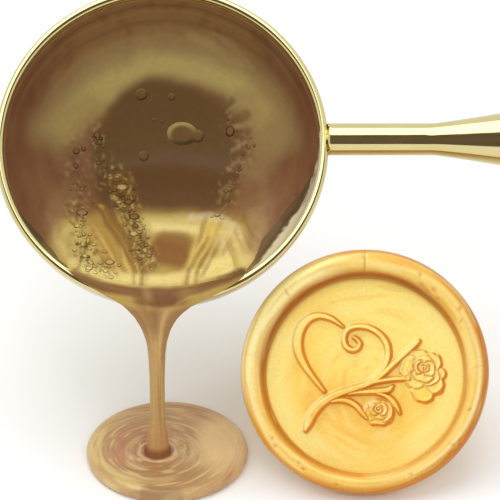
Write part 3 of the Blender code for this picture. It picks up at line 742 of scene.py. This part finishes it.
stream = loft("molten_wax_pour", rings)
points = read_points(stream)
height = points[:, 2] / MM
falling = ramp(height, 24.0, 23.0)
sheet = falling * ramp(height, 18.5, 21.5)
threaded = falling * (0.65 + 0.35 * ramp(height, 8.0, 20.0))
share = (points[:, 0] + 1.15 * MM) / np.interp(points[:, 2], fall[:, 0], fall[:, 2])
streaks = ripple(np.column_stack([share * 3.2, np.zeros(len(share)), height / 14.0]), 1.0)
tone = coated(
    wax_tones(points),
    (falling, "B8935B"),
    # Painted reflection: the sheet is darker where it bends over the lip.
    (0.8 * sheet, "A0794A"),
    (0.6 * threaded * ramp(streaks, 0.05, 0.4), "C8A76E"),
    (0.7 * threaded * ramp(-streaks, 0.1, 0.4), "946E42"),
    # A darker painted reflection down the middle of the bending sheet.
    (0.6 * sheet * bell(share + 0.08, 0.13), "7C5030"),
    (0.7 * falling * ramp(height, 9.0, 3.0), "C0905F"),
    (0.9 * ramp(height, 3.3, 2.3), "8A5636"),
)
paint(stream, "wax_tone", tone)
stream.data.materials.append(molten_wax)
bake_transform(stream)
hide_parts("wax_overflow", "wax_stream")


# Bubbles. Air that the wax gave off while it melted: thin domes of wax that float on the pool and drift
# with the flow, gathered into foam on the left of the lip.
BUBBLES = [
    (-2.9, 6.7, 0.77), (1.0, 6.4, 0.45), (2.4, 1.6, 1.98), (4.4, 1.3, 0.74), (-2.6, -1.3, 0.77),
    (8.6, 1.9, 0.77), (-1.3, 3.4, 0.26), (-0.2, 3.2, 0.26), (-8.6, 1.4, 0.51), (-8.2, 0.4, 0.38),
    (-11.2, -0.7, 0.51), (-10.3, -0.4, 0.38), (-11.3, -2.6, 0.38), (-7.5, -2.6, 0.38), (-8.0, -3.9, 0.38),
    (-5.3, -5.4, 0.77), (-4.4, -7.3, 0.77), (-3.6, -9.2, 0.64), (-10.3, -8.7, 0.89), (-10.8, -10.4, 0.45),
    (-9.4, -12.3, 0.51), (-8.6, -12.8, 0.38), (-7.2, -13.7, 0.38), (-9.7, -14.2, 0.45), (-9.0, -15.0, 0.51),
    (-9.1, -15.8, 0.51), (-8.2, -16.0, 0.26), (-7.0, -16.1, 0.38), (-6.5, -15.0, 0.64), (-5.3, -15.4, 0.38),
    (-3.6, -11.4, 0.64), (-2.9, -12.2, 0.38), (-2.5, -12.8, 0.51), (-1.6, -14.2, 0.38), (-3.4, -10.4, 0.51),
    (8.1, -5.9, 0.38), (7.0, -9.0, 0.45), (7.6, -9.4, 0.32), (6.3, -9.2, 0.26), (8.4, -7.1, 0.26),
]
# Foam on each of the paths, as (count of bubbles, spread, largest radius), in millimetres
FOAM = [(95, 1.5, 0.42), (34, 0.9, 0.34), (46, 1.1, 0.36), (30, 1.0, 0.3), (22, 0.9, 0.26), (30, 1.3, 0.28)]
SMALLEST_BUBBLE = 0.12
FINE_FROM = 0.6
LARGE_FROM = 1.0
DOME_SHARE = 0.42
LARGE_DOME_SHARE = 0.2
RAY_START = 100 * MM
draw = random.Random(11)
bubbles = list(BUBBLES)
for line, (count, spread, largest) in zip(FOAM_PATHS, FOAM):
    for _ in range(count):
        part = draw.randrange(len(line) - 1)
        share = draw.random()
        (x0, y0), (x1, y1) = line[part], line[part + 1]
        across = x0 + share * (x1 - x0) + draw.gauss(0, spread / 2)
        up = y0 + share * (y1 - y0) + draw.gauss(0, spread / 2)
        bubbles.append((across, up, draw.uniform(SMALLEST_BUBBLE, largest)))
view_line = Vector((0.0, math.cos(VIEW_DOWN), -math.sin(VIEW_DOWN)))
view_up = Vector((0.0, math.sin(VIEW_DOWN), math.cos(VIEW_DOWN)))
bpy.context.view_layer.update()
domes = []
for across, up, radius in bubbles:
    start = OPENING_CENTRE + (Vector((across, 0.0, 0.0)) + view_up * up) * MM - view_line * RAY_START
    found, place, normal, _ = pool.ray_cast(start, view_line)
    if not found:
        continue
    fine, large = radius > FINE_FROM, radius > LARGE_FROM
    detail = 2 if fine else 1
    bpy.ops.mesh.primitive_uv_sphere_add(segments=12 * detail, ring_count=6 * detail, radius=radius * MM)
    dome = bpy.context.object
    dome.scale = (draw.uniform(0.8, 1.2), draw.uniform(0.8, 1.2), LARGE_DOME_SHARE if large else DOME_SHARE)
    dome.rotation_euler = normal.to_track_quat("Z", "Y").to_euler()
    dome.location = place - normal * 0.06 * radius * MM
    bpy.ops.object.transform_apply(location=True, rotation=True, scale=True)
    bpy.ops.object.shade_smooth()
    centre_tone = wax_tones(np.array([place]))[0]
    offsets = read_points(dome) - np.array(place)
    shown = offsets @ np.array(normal) > 0.0
    side, top = offsets[:, 0], offsets @ np.array(view_up)
    half_height = np.ptp(top[shown]) / 2
    rise = (top - top[shown].min()) / half_height - 1.0
    out = np.hypot(side / side[shown].max(), rise)
    # Painted light: each dome gets a ring round its edge, darker than its cap as painted shade, and lighter
    # on its upper side as a painted highlight.
    painted_light_side = smooth_step(0.5 + 0.6 * (0.9 * rise - 0.4 * side / side.max()))
    dark_wax = centre_tone[0] < 0.15
    ring_tone = centre_tone * 0.3 + np.outer(painted_light_side, centre_tone * 0.3)
    if dark_wax:
        ring_tone = coated("523C1E", (painted_light_side, "AC965A" if large else "84703E"))
    cap_tone = centre_tone * (1.15 if dark_wax or fine else draw.uniform(0.7, 1.4))
    ring_mask = ramp(out, 0.65, 0.85)
    paint(dome, "wax_tone", cap_tone + (ring_tone - cap_tone) * ring_mask[:, None])
    dome.data.materials.append(molten_wax)
    domes.append(dome)
bpy.ops.object.select_all(action="DESELECT")
for dome in domes:
    dome.select_set(True)
bpy.context.view_layer.objects.active = domes[0]
bpy.ops.object.join()
foam = bpy.context.object
foam.name = "wax_bubbles"
foam.data.name = "wax_bubbles"
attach(foam, "spoon")


# Puddle. The poured wax spreads on the table into a round disc with a soft edge. It folds over itself
# round the foot of the stream, which leaves rings of gold pearl in it.
PUDDLE_RADIUS = 10.29 * MM
PUDDLE_THICKNESS = 1.8 * MM
FOOT_X = -1.2 * MM
edge = PUDDLE_THICKNESS * 0.55
profile = [(radius, PUDDLE_THICKNESS) for radius in np.linspace(0.0, PUDDLE_RADIUS - edge, 110)]
profile += oval((PUDDLE_RADIUS - edge, PUDDLE_THICKNESS - edge), edge, edge, 90.0, -30.0, 20)[1:]
profile += [(PUDDLE_RADIUS - edge * 0.6, 0.0), (PUDDLE_RADIUS * 0.5, 0.0), (0.0, 0.0)]
puddle = turn_on_lathe("wax_puddle_disc", profile, 288)
points = read_points(puddle)
x, y = points[:, 0] / MM, points[:, 1] / MM
reach = np.hypot(points[:, 0] - FOOT_X, points[:, 1] - STREAM_Y) / MM
angle = np.arctan2(points[:, 1] - STREAM_Y, points[:, 0] - FOOT_X) + 0.22 * reach
around = np.column_stack([np.cos(angle), np.sin(angle), reach])
wide_fold = ripple(around * (1.3, 1.3, 1 / 1.5), 1.0)
fine_fold = ripple(around * (2.2, 2.2, 1 / 0.42) + 7.0, 1.0)
rings = 0.05 * np.cos(2 * math.pi * (reach - 2.1) / 0.8) * ramp(reach, 1.5, 1.9)
rings *= np.exp(-np.maximum(reach - 2.0, 0.0) / 1.3)
on_top = ramp(points[:, 2] / MM, 0.9, 1.5)
points[:, 2] += on_top * (rings + 0.022 * fine_fold + 0.02 * wide_fold - 0.05) * MM
move_points(puddle, points)
quiet = 1.0 - 0.85 * brush_patch(x, y, (7.0, 1.0), 3.2, 5.5, 2.0)
left_edge = [(-9.2, 2.0), (-8.9, -2.6), (-7.0, -6.4), (-4.0, -8.6)]
front_edge = [(-2.6, -9.7), (1.4, -9.9)]
tone = coated(
    "C9A270",
    (0.9 * brush_patch(x, y, (-3.8, -0.6), 4.0, 5.2, 3.0), "BA825C"),
    (0.5 * brush_patch(x, y, (-5.0, -2.2), 1.0, 1.4, 2.0), "C88C76"),
    (0.6 * brush_patch(x, y, (1.6, 4.6), 4.0, 3.0, 2.5), "C69A72"),
    (0.9 * brush_patch(x, y, (6.8, 1.0), 3.2, 5.5, 3.0), "EACB92"),
    (0.8 * brush_patch(x, y, (-1.0, -6.6), 6.0, 3.4, 3.0), "A67C4C"),
    (0.8 * brush_line(x, y, left_edge, 0.5, 1.5), "D8BC78"),
    (0.6 * quiet * ramp(wide_fold, 0.08, 0.43), "D2B078"),
    (0.6 * quiet * ramp(-wide_fold, 0.12, 0.47), "B98A5E"),
    (0.65 * quiet * ramp(fine_fold, 0.15, 0.45), "DCC488"),
    (0.5 * quiet * ramp(-fine_fold, 0.15, 0.45), "A87E54"),
    (0.55 * brush_line(x, y, front_edge, 0.3, 0.9), "8E7048"),
    (0.5 * ramp(reach, 2.6, 1.7), "AC7850"),
    # A pale painted highlight rings the foot of the stream.
    (0.5 * bell(reach - 2.35, 0.2), "F0D6B0"),
)
paint(puddle, "wax_tone", tone)

# Poured wax that begins to set: satin, paler and pinker than the molten wax, with folded gold streaks.
poured_wax = pearl_finish(
    "poured_pearl_wax", 0.3 * MM, (0.94, 1.05), (0.3, 0.45), 0.0,
    {"Coat Weight": 0.25, "Coat Roughness": 0.15, "Specular IOR Level": 0.35},
)
puddle.data.materials.append(poured_wax)
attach(puddle, "poured_wax")
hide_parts("wax_puddle")


# Stamped seal. Gold pearl wax pressed with a 25 mm round stamp: the wax swelled up into a rolled rim
# round the stamp, and the sunk field carries a raised heart with two roses.
STAMP_RADIUS = 12.5 * MM
SEAL_RIM_WIDTH = 3.2 * MM
SEAL_RIM_HEIGHT = 1.7 * MM
SEAL_FOOT_INSET = 0.8 * MM
FIELD_THICKNESS = 2.2 * MM
SEAL_TILT = math.radians(54.5)
SEAL_BACK = Vector((25.1, 1.652, 12.269)) * MM
FIELD_EDGE = 12.3
RIM_CREST = 14.2
HAND_WAVE = 0.05 * MM
RELIEF = 0.72
SIDE = 0.42
# The raised design as lines of (across, up, half width), in millimetres from the middle of the field
DESIGN = [
    [(-2.68, 5.82, 0.15), (-3.38, 6.37, 0.26), (-4.35, 6.97, 0.37), (-5.65, 7.3, 0.43), (-6.84, 7.01, 0.5),
     (-7.82, 6.11, 0.58), (-8.36, 4.91, 0.63), (-8.49, 3.62, 0.63), (-8.25, 2.42, 0.58), (-7.75, 1.3, 0.5),
     (-7.06, 0.22, 0.41), (-6.19, -0.93, 0.35), (-5.59, -1.69, 0.3), (-5.15, -2.23, 0.24)],
    [(-1.39, 4.59, 0.22), (-0.95, 4.27, 0.28), (-0.63, 3.77, 0.3), (-0.95, 3.14, 0.32), (-1.69, 2.99, 0.35),
     (-2.38, 3.46, 0.37), (-2.64, 4.27, 0.37), (-2.47, 5.13, 0.37), (-1.86, 5.72, 0.35),
     (-0.89, 5.95, 0.35), (0.3, 5.85, 0.37), (1.39, 5.35, 0.39), (2.25, 4.59, 0.41), (2.79, 3.62, 0.43),
     (2.94, 2.53, 0.43), (2.73, 1.45, 0.43), (2.21, 0.48, 0.41), (1.49, -0.28, 0.37), (0.63, -0.87, 0.26)],
    [(-7.49, -7.14, 0.28), (-7.14, -6.28, 0.54), (-6.62, -5.2, 0.58), (-5.76, -4.11, 0.56),
     (-4.57, -3.2, 0.52), (-3.16, -2.51, 0.48), (-1.65, -2.01, 0.45), (-0.13, -1.52, 0.43),
     (0.95, -1.04, 0.41), (2.04, -0.28, 0.39), (3.12, 0.74, 0.39), (4.31, 1.82, 0.39), (5.5, 2.86, 0.37),
     (6.47, 3.77, 0.35), (6.8, 4.09, 0.26)],
    [(0.3, -1.43, 0.17), (1.6, -1.04, 0.28), (2.9, -0.78, 0.32), (4.2, -0.67, 0.32), (5.61, -0.71, 0.28)],
    [(-2.08, -2.62, 0.15), (-0.78, -2.42, 0.28), (0.74, -2.29, 0.37), (2.04, -2.21, 0.39),
     (3.01, -2.04, 0.39), (3.51, -1.6, 0.19)],
    [(1.39, -2.51, 0.15), (2.47, -2.77, 0.3), (3.33, -3.31, 0.41), (3.98, -4.18, 0.37), (4.42, -5.02, 0.17)],
    [(-4.24, -3.59, 0.17), (-3.16, -3.38, 0.32), (-2.08, -3.53, 0.39), (-1.1, -4.07, 0.39),
     (-0.35, -4.94, 0.37), (0.3, -5.69, 0.24)],
]
# Petals from the outer ones to the bud, as (across, up, half width, half height, turn in degrees, height of
# the heart), and the coil cut into each bud as (across, up)
PETALS = [
    (7.3, -2.35, 1.35, 1.15, -25.0, 0.40), (8.8, -1.2, 1.05, 1.35, 20.0, 0.42),
    (9.45, -0.1, 0.7, 0.6, 20.0, 0.38), (8.45, 1.35, 1.15, 1.2, 30.0, 0.44),
    (6.8, 2.05, 1.25, 0.85, 10.0, 0.42), (5.5, 0.75, 0.95, 1.55, -8.0, 0.42),
    (6.35, -1.0, 1.2, 0.85, -15.0, 0.46), (8.35, -0.5, 1.15, 0.95, 25.0, 0.52),
    (6.5, 0.4, 0.95, 1.15, 0.0, 0.52), (7.5, 1.25, 1.2, 0.8, 0.0, 0.54),
    (7.35, -0.35, 1.25, 0.7, -8.0, 0.56), (8.15, 0.55, 0.75, 0.85, 0.0, 0.58),
    (6.95, 0.75, 0.62, 0.78, 0.0, 0.60), (7.5, 0.7, 0.6, 0.55, 0.0, 0.64),
    (1.75, -5.75, 1.35, 0.75, 0.0, 0.40), (0.65, -5.0, 0.8, 0.95, 15.0, 0.42),
    (2.8, -4.9, 0.75, 1.1, -10.0, 0.42), (1.75, -4.0, 1.0, 0.65, 0.0, 0.44),
    (1.75, -5.15, 0.95, 0.6, 0.0, 0.52), (1.25, -4.55, 0.55, 0.75, 0.0, 0.54),
    (2.25, -4.5, 0.55, 0.75, 0.0, 0.56), (1.75, -4.5, 0.48, 0.48, 0.0, 0.62),
]
COILS = [
    [(7.2, 0.95), (7.55, 1.05), (7.8, 0.8), (7.7, 0.45), (7.4, 0.45), (7.4, 0.72)],
    [(1.5, -4.35), (1.8, -4.22), (2.0, -4.48), (1.78, -4.7), (1.6, -4.55)],
]
PETAL_LIP = 0.16
RUFFLE = 0.16
CUT_DEPTH = 0.24
CUT_WIDTH = 0.11
# The wax ran out a little wider than high, and the stamp was pressed a little low on it
SEAL_FLATTENING = 0.013
STAMP_SLIP = 0.4 * MM
# Light is painted as coming from this way, up and left of the face: slopes leaning towards it are painted
# lighter, and slopes leaning away darker
PAINTED_LIGHT_FROM = (-0.62, 0.35, 0.7)
# Nicks in the rim as (angle in degrees, radius, half width, half length, depth), in millimetres
NICKS = [
    (90.0, 14.3, 0.08, 1.4, 0.14), (172.0, 14.9, 0.07, 0.9, 0.12), (2.0, 14.4, 0.06, 1.0, 0.06),
    (57.0, 13.5, 0.55, 0.18, 0.2), (53.0, 13.3, 0.5, 0.14, 0.2), (50.0, 13.8, 0.4, 0.16, 0.16),
    (46.0, 13.4, 0.3, 0.15, 0.14), (60.0, 14.3, 0.25, 0.2, 0.12), (33.0, 14.5, 0.2, 0.25, 0.14),
    (28.0, 13.9, 0.15, 0.2, 0.1), (-20.0, 14.0, 0.25, 0.2, 0.14), (-36.0, 14.9, 0.3, 0.2, 0.16),
    (-40.0, 14.6, 0.2, 0.3, 0.16), (-44.0, 15.0, 0.25, 0.15, 0.14), (-66.0, 14.3, 0.16, 0.25, 0.12),
    (-104.0, 14.9, 0.2, 0.15, 0.1), (-122.0, 14.6, 0.25, 0.2, 0.18), (-126.0, 14.2, 0.15, 0.2, 0.14),
    (-140.0, 14.8, 0.3, 0.2, 0.18), (-144.0, 14.4, 0.2, 0.25, 0.16), (135.0, 14.2, 0.12, 0.5, 0.1),
]
seal_radius = STAMP_RADIUS + SEAL_RIM_WIDTH
rim_middle = (STAMP_RADIUS + SEAL_RIM_WIDTH / 2, FIELD_THICKNESS)
profile = [(radius, FIELD_THICKNESS) for radius in np.linspace(0.0, STAMP_RADIUS, 150)[:-1]]
profile += oval(rim_middle, SEAL_RIM_WIDTH / 2, SEAL_RIM_HEIGHT, 180.0, 0.0, 32)
foot_centre = (seal_radius - SEAL_FOOT_INSET, FIELD_THICKNESS)
profile += oval(foot_centre, SEAL_FOOT_INSET, FIELD_THICKNESS, 0.0, -90.0, 10)[1:]
profile += [(radius, 0.0) for radius in np.linspace(STAMP_RADIUS, 0.0, 14)]
seal = turn_on_lathe("stamped_wax_seal", profile, 460)


def raised_line(x, y, line):
    """Height of one raised line over the field, in millimetres: steep sides and a rounded top."""
    outside = np.full(len(x), 9.0)
    inside = np.zeros(len(x))
    for across, up, half_width in drawn_through(line, 10):
        gap = np.hypot(x - across, y - up) - half_width
        nearer = gap < outside
        outside = np.where(nearer, gap, outside)
        inside = np.where(nearer, np.clip(-gap / half_width, 0.0, 1.0), inside)
    crown = 0.72 + 0.28 * np.sqrt(1.0 - (1.0 - inside) ** 2)
    return RELIEF * smooth_step((SIDE / 2 - outside) / SIDE) * crown


def raised_roses(x, y):
    """Height of the roses, as cupped petals laid over each other, and where the grooves between them lie."""
    height, groove, skirt = np.zeros((3, len(x)))
    grid = np.column_stack([x, y, np.zeros(len(x))])
    x = x + RUFFLE * ripple(grid, 0.8)
    y = y + RUFFLE * ripple(grid + 7.0, 0.8)
    for across, up, half_width, half_height, turn, heart in PETALS:
        size = min(half_width, half_height)
        turned = (x - across + 1j * (y - up)) * np.exp(-1j * math.radians(turn))
        share = np.hypot(turned.real / half_width, turned.imag / half_height)
        inside = smooth_step((1.0 - share) * size / (2 * CUT_WIDTH) + 0.5)
        skirt = np.maximum(skirt, 0.42 * smooth_step((1.0 - share) * size / SIDE + 0.8))
        round_it = bell((share - 1.0) * size / CUT_WIDTH - 0.6, 1.0) * (height > 0.25)
        cup = heart + PETAL_LIP * np.clip(share, 0.0, 1.0) ** 3
        height = (height - CUT_DEPTH * round_it) * (1.0 - inside) + cup * inside
        groove = np.maximum(groove, round_it) * (1.0 - inside)
    for line in COILS:
        for across, up in drawn_through(line, 10):
            coil = bell(np.hypot(x - across, y - up), CUT_WIDTH)
            groove = np.maximum(groove, coil)
            height = np.minimum(height, 0.8 - 0.36 * coil)
    return np.maximum(height, skirt), groove


points = read_points(seal)
radius = np.hypot(points[:, 0], points[:, 1]) / MM
points[:, 1] -= SEAL_FLATTENING * (points[:, 1] + seal_radius)
x, y = points[:, 0] / MM, points[:, 1] / MM
bearing = np.degrees(np.arctan2(y, x))
field = (radius < FIELD_EDGE) & (points[:, 2] > FIELD_THICKNESS / 2)
relief, cuts, nicks = np.zeros((3, len(points)))
relief[field], cuts[field] = raised_roses(x[field], y[field])
for line in DESIGN:
    relief[field] = np.maximum(relief[field], raised_line(x[field], y[field], line))
points[:, 2] += relief * MM
for angle, place, half_width, half_length, depth in NICKS:
    sideways = np.radians((bearing - angle + 180.0) % 360.0 - 180.0) * radius
    dent = bell(sideways, half_width) * bell(radius - place, half_length)
    points[:, 2] -= dent * depth * MM * (points[:, 2] > FIELD_THICKNESS)
    nicks = np.maximum(nicks, dent)
hand = ripple(points, 5.0 * MM)
on_face = points[:, 2] > 1.0 * MM
points[:, 2] += HAND_WAVE * hand * on_face
points[:, 1] -= STAMP_SLIP * ramp(radius, 14.8, 13.0) * on_face
move_points(seal, points)
normals = np.empty(len(points) * 3, dtype=np.float32)
seal.data.vertex_normals.foreach_get("vector", normals)
facing = normals.reshape(-1, 3)[:, 2]
leans_to_painted_light = normals.reshape(-1, 3) @ np.array(PAINTED_LIGHT_FROM) - PAINTED_LIGHT_FROM[2]

# Flakes are drawn into swirls by the stamp and into streaks along the rim. Light from the upper left is
# painted in as highlights and shade, on the rim, the slopes of the design, its grooves and the nicks.
rim = ramp(radius, 12.2, 12.7)
angle = np.arctan2(y + 1.5, x - 0.5)
around = [2.0 * np.cos(angle), 2.0 * np.sin(angle), np.hypot(x - 0.5, y + 1.5) / 0.9 + hand]
swirl = ripple(np.column_stack(around), 1.0)
turn = np.radians(bearing)
streak = ripple(np.column_stack([2.2 * np.cos(turn), 2.2 * np.sin(turn), radius * 2.0]), 1.0)
upper_left = np.cos(turn - math.radians(145.0))
sides = np.cos(turn - math.radians(165.0)) ** 2
under = ramp(np.cos(turn - math.radians(105.0)), -0.2, 0.8)
pale = ramp(radius, 8.0, 11.0) * ramp(y, 10.0, 4.0)
pale *= 0.75 - 0.45 * brush_patch(x, y, (0.0, -11.0), 6.0, 3.0, 3.0)
shade = 0.9 * smooth_step((-leans_to_painted_light - 0.05) / (0.34 + 0.2 * rim))
inner_slope = rim * ramp(radius, RIM_CREST, RIM_CREST - 0.6)
crest = RIM_CREST + 0.3 * np.cos(2 * turn) + 0.1 * hand
inner_foot_shade = bell(radius - 12.8, 0.25 + 0.3 * under)
back = ramp(facing, 0.0, -0.4)
tone = coated(
    "FFD562",
    (0.9 * brush_patch(x, y, (3.0, 6.0), 9.0, 7.0, 8.0), "FFE680"),
    (0.7 * brush_patch(x, y, (-2.5, -6.5), 8.0, 5.0, 5.0), "F9C45C"),
    (0.3 * (1 - rim) * ramp(swirl, 0.05, 0.4), "FCE494"),
    (0.25 * (1 - rim) * ramp(-swirl, 0.1, 0.45), "EAB055"),
    ((1 - rim) * pale, "FFEA8E"),
    (0.85 * rim, "E9B044"),
    # Painted highlights on the rim where it faces out and on its upper left.
    (0.7 * rim * ramp(facing, 0.8, 0.95), "F7CF68"),
    (0.7 * rim * ramp(upper_left, 0.6, 1.0), "FFF0A4"),
    # Painted shade on steep slopes and on slopes leaning away from the painted light.
    (0.55 * ramp(facing, 0.97, 0.52), "D88C28"),
    (shade * (1 - rim), "D67E1A"),
    (shade * rim, "BE7014"),
    # A painted highlight on slopes leaning towards the painted light.
    ((0.75 - 0.55 * inner_slope) * ramp(leans_to_painted_light, 0.03, 0.25), "FFF0A4"),
    # Streaks along the rim, partly painted highlights.
    (0.35 * rim * on_face * ramp(streak, 0.1, 0.35), "FFEDA0"),
    (0.35 * rim * on_face * ramp(-streak, 0.1, 0.35), "D6932C"),
    # A painted highlight on the rim's crest, and painted shade at the foot of its inner wall and on its outer
    # edge.
    (0.65 * on_face * bell(radius - crest, 0.3) * (0.15 + 0.85 * sides), "FFF2B4"),
    ((0.2 + 0.75 * under) * on_face * inner_foot_shade, "9A560E"),
    (0.75 * rim * ramp(facing, 0.45, 0.05), "D48A38"),
    (0.9 * back, "EDBE60"),
    (0.4 * back * ramp(swirl, 0.05, 0.35), "D89C44"),
    # Painted shade in the grooves between petals and in the nicks.
    (0.5 * cuts, "C8821E"),
    (0.65 * nicks, "C87E28"),
)
paint(seal, "wax_tone", tone)
set_in_place(seal, (SEAL_TILT, 0.0, 0.0), SEAL_BACK)
standing = read_points(seal)
standing[:, 2] = np.maximum(standing[:, 2], 0.0)
move_points(seal, standing)

# Set wax with gold pearl pigment: an opaque warm gold with a satin skin, where flakes lie in swirls.
pearl_wax = pearl_finish(
    "set_pearl_wax", 0.35 * MM, (0.95, 1.04), (0.3, 0.42), 0.06,
    {"Metallic": 0.1, "Coat Weight": 0.15, "Coat Roughness": 0.15, "Specular IOR Level": 0.3},
)
seal.data.materials.append(pearl_wax)
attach(seal, "stamped_seal")
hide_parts("wax_seal")


# Studio. A plain white table under a large soft lamp, with a white surround, seen from the front and
# from above at the angle that the pour was photographed from.
TABLE_SIZE = 4.0
CARD_DISTANCE = 1.1
VIEW_DISTANCE = 700.0 * MM
MM_PER_PIXEL = 0.12783
PICTURE_WIDTH = 500
VIEW_MIDDLE = Vector((10.58, 14.69, 21.94)) * MM
LIT_POINT = Vector((0.0, 0.01, 0.02))
# Lamps as (name, place, side of the square, power)
LAMPS = [("softbox", (-0.18, 0.10, 0.84), 0.9, 4.5), ("front_fill", (0.12, -0.68, 0.52), 0.6, 2.2)]

bpy.ops.mesh.primitive_plane_add(size=TABLE_SIZE, location=(0.0, 0.5, 0.0))
floor = bpy.context.object
floor.name = "table_top"
# Matt white board without any sheen
white_table, _, _ = new_finish(
    "white_table", {"Base Color": linear("FBFBFB"), "Roughness": 0.8, "Specular IOR Level": 0.0}
)
floor.data.materials.append(white_table)

world = bpy.data.worlds.new("white_studio")
bpy.context.scene.world = world
world.use_nodes = True
tree = world.node_tree
sky = tree.nodes["Background"]
path = add_node(tree, "LightPath", {})
mirrored = add_node(
    tree, "Math",
    {0: path.outputs["Is Glossy Ray"], 1: path.outputs["Is Transmission Ray"]},
    operation="MAXIMUM",
)
shown = add_node(tree, "Math", {0: path.outputs["Is Camera Ray"], 1: mirrored}, operation="MAXIMUM")
strength = add_node(tree, "MapRange", {"Value": shown, "To Min": 0.56, "To Max": 1.0})
feed(sky, {"Color": linear("FFFFFF"), "Strength": strength})

facing_pour = (math.radians(90.0) - VIEW_DOWN, 0.0, 0.0)
card_place = Vector((0.0, 0.0, 0.02)) - view_line * CARD_DISTANCE
bpy.ops.mesh.primitive_plane_add(size=1.0, location=card_place, rotation=facing_pour)
flag = bpy.context.object
flag.name = "dark_card"
flag.scale = (2.0, 1.6, 1.0)
bpy.ops.object.transform_apply(location=True, rotation=True, scale=True)
flag.visible_camera = False
flag.visible_diffuse = False
flag.visible_shadow = False
flag.visible_transmission = False
# Matt grey brown card, which only the polished metal and the wet wax mirror
dark_card, _, _ = new_finish(
    "dark_card", {"Base Color": linear("7E7068"), "Roughness": 1.0, "Specular IOR Level": 0.0}
)
flag.data.materials.append(dark_card)

for name, place, side, power in LAMPS:
    bpy.ops.object.light_add(type="AREA", location=place)
    lamp = bpy.context.object
    lamp.name = name
    lamp.data.shape = "SQUARE"
    lamp.data.size = side
    lamp.data.energy = power
    lamp.rotation_euler = (LIT_POINT - lamp.location).to_track_quat("-Z", "Y").to_euler()
    lamp.visible_glossy = name == "softbox"

bpy.ops.object.camera_add(location=VIEW_MIDDLE - view_line * VIEW_DISTANCE, rotation=facing_pour)
camera = bpy.context.object
camera.data.sensor_width = 36.0
camera.data.lens = camera.data.sensor_width * VIEW_DISTANCE / (PICTURE_WIDTH * MM_PER_PIXEL * MM)
camera.data.clip_start = 0.01
camera.data.clip_end = 20.0
bpy.context.scene.camera = camera
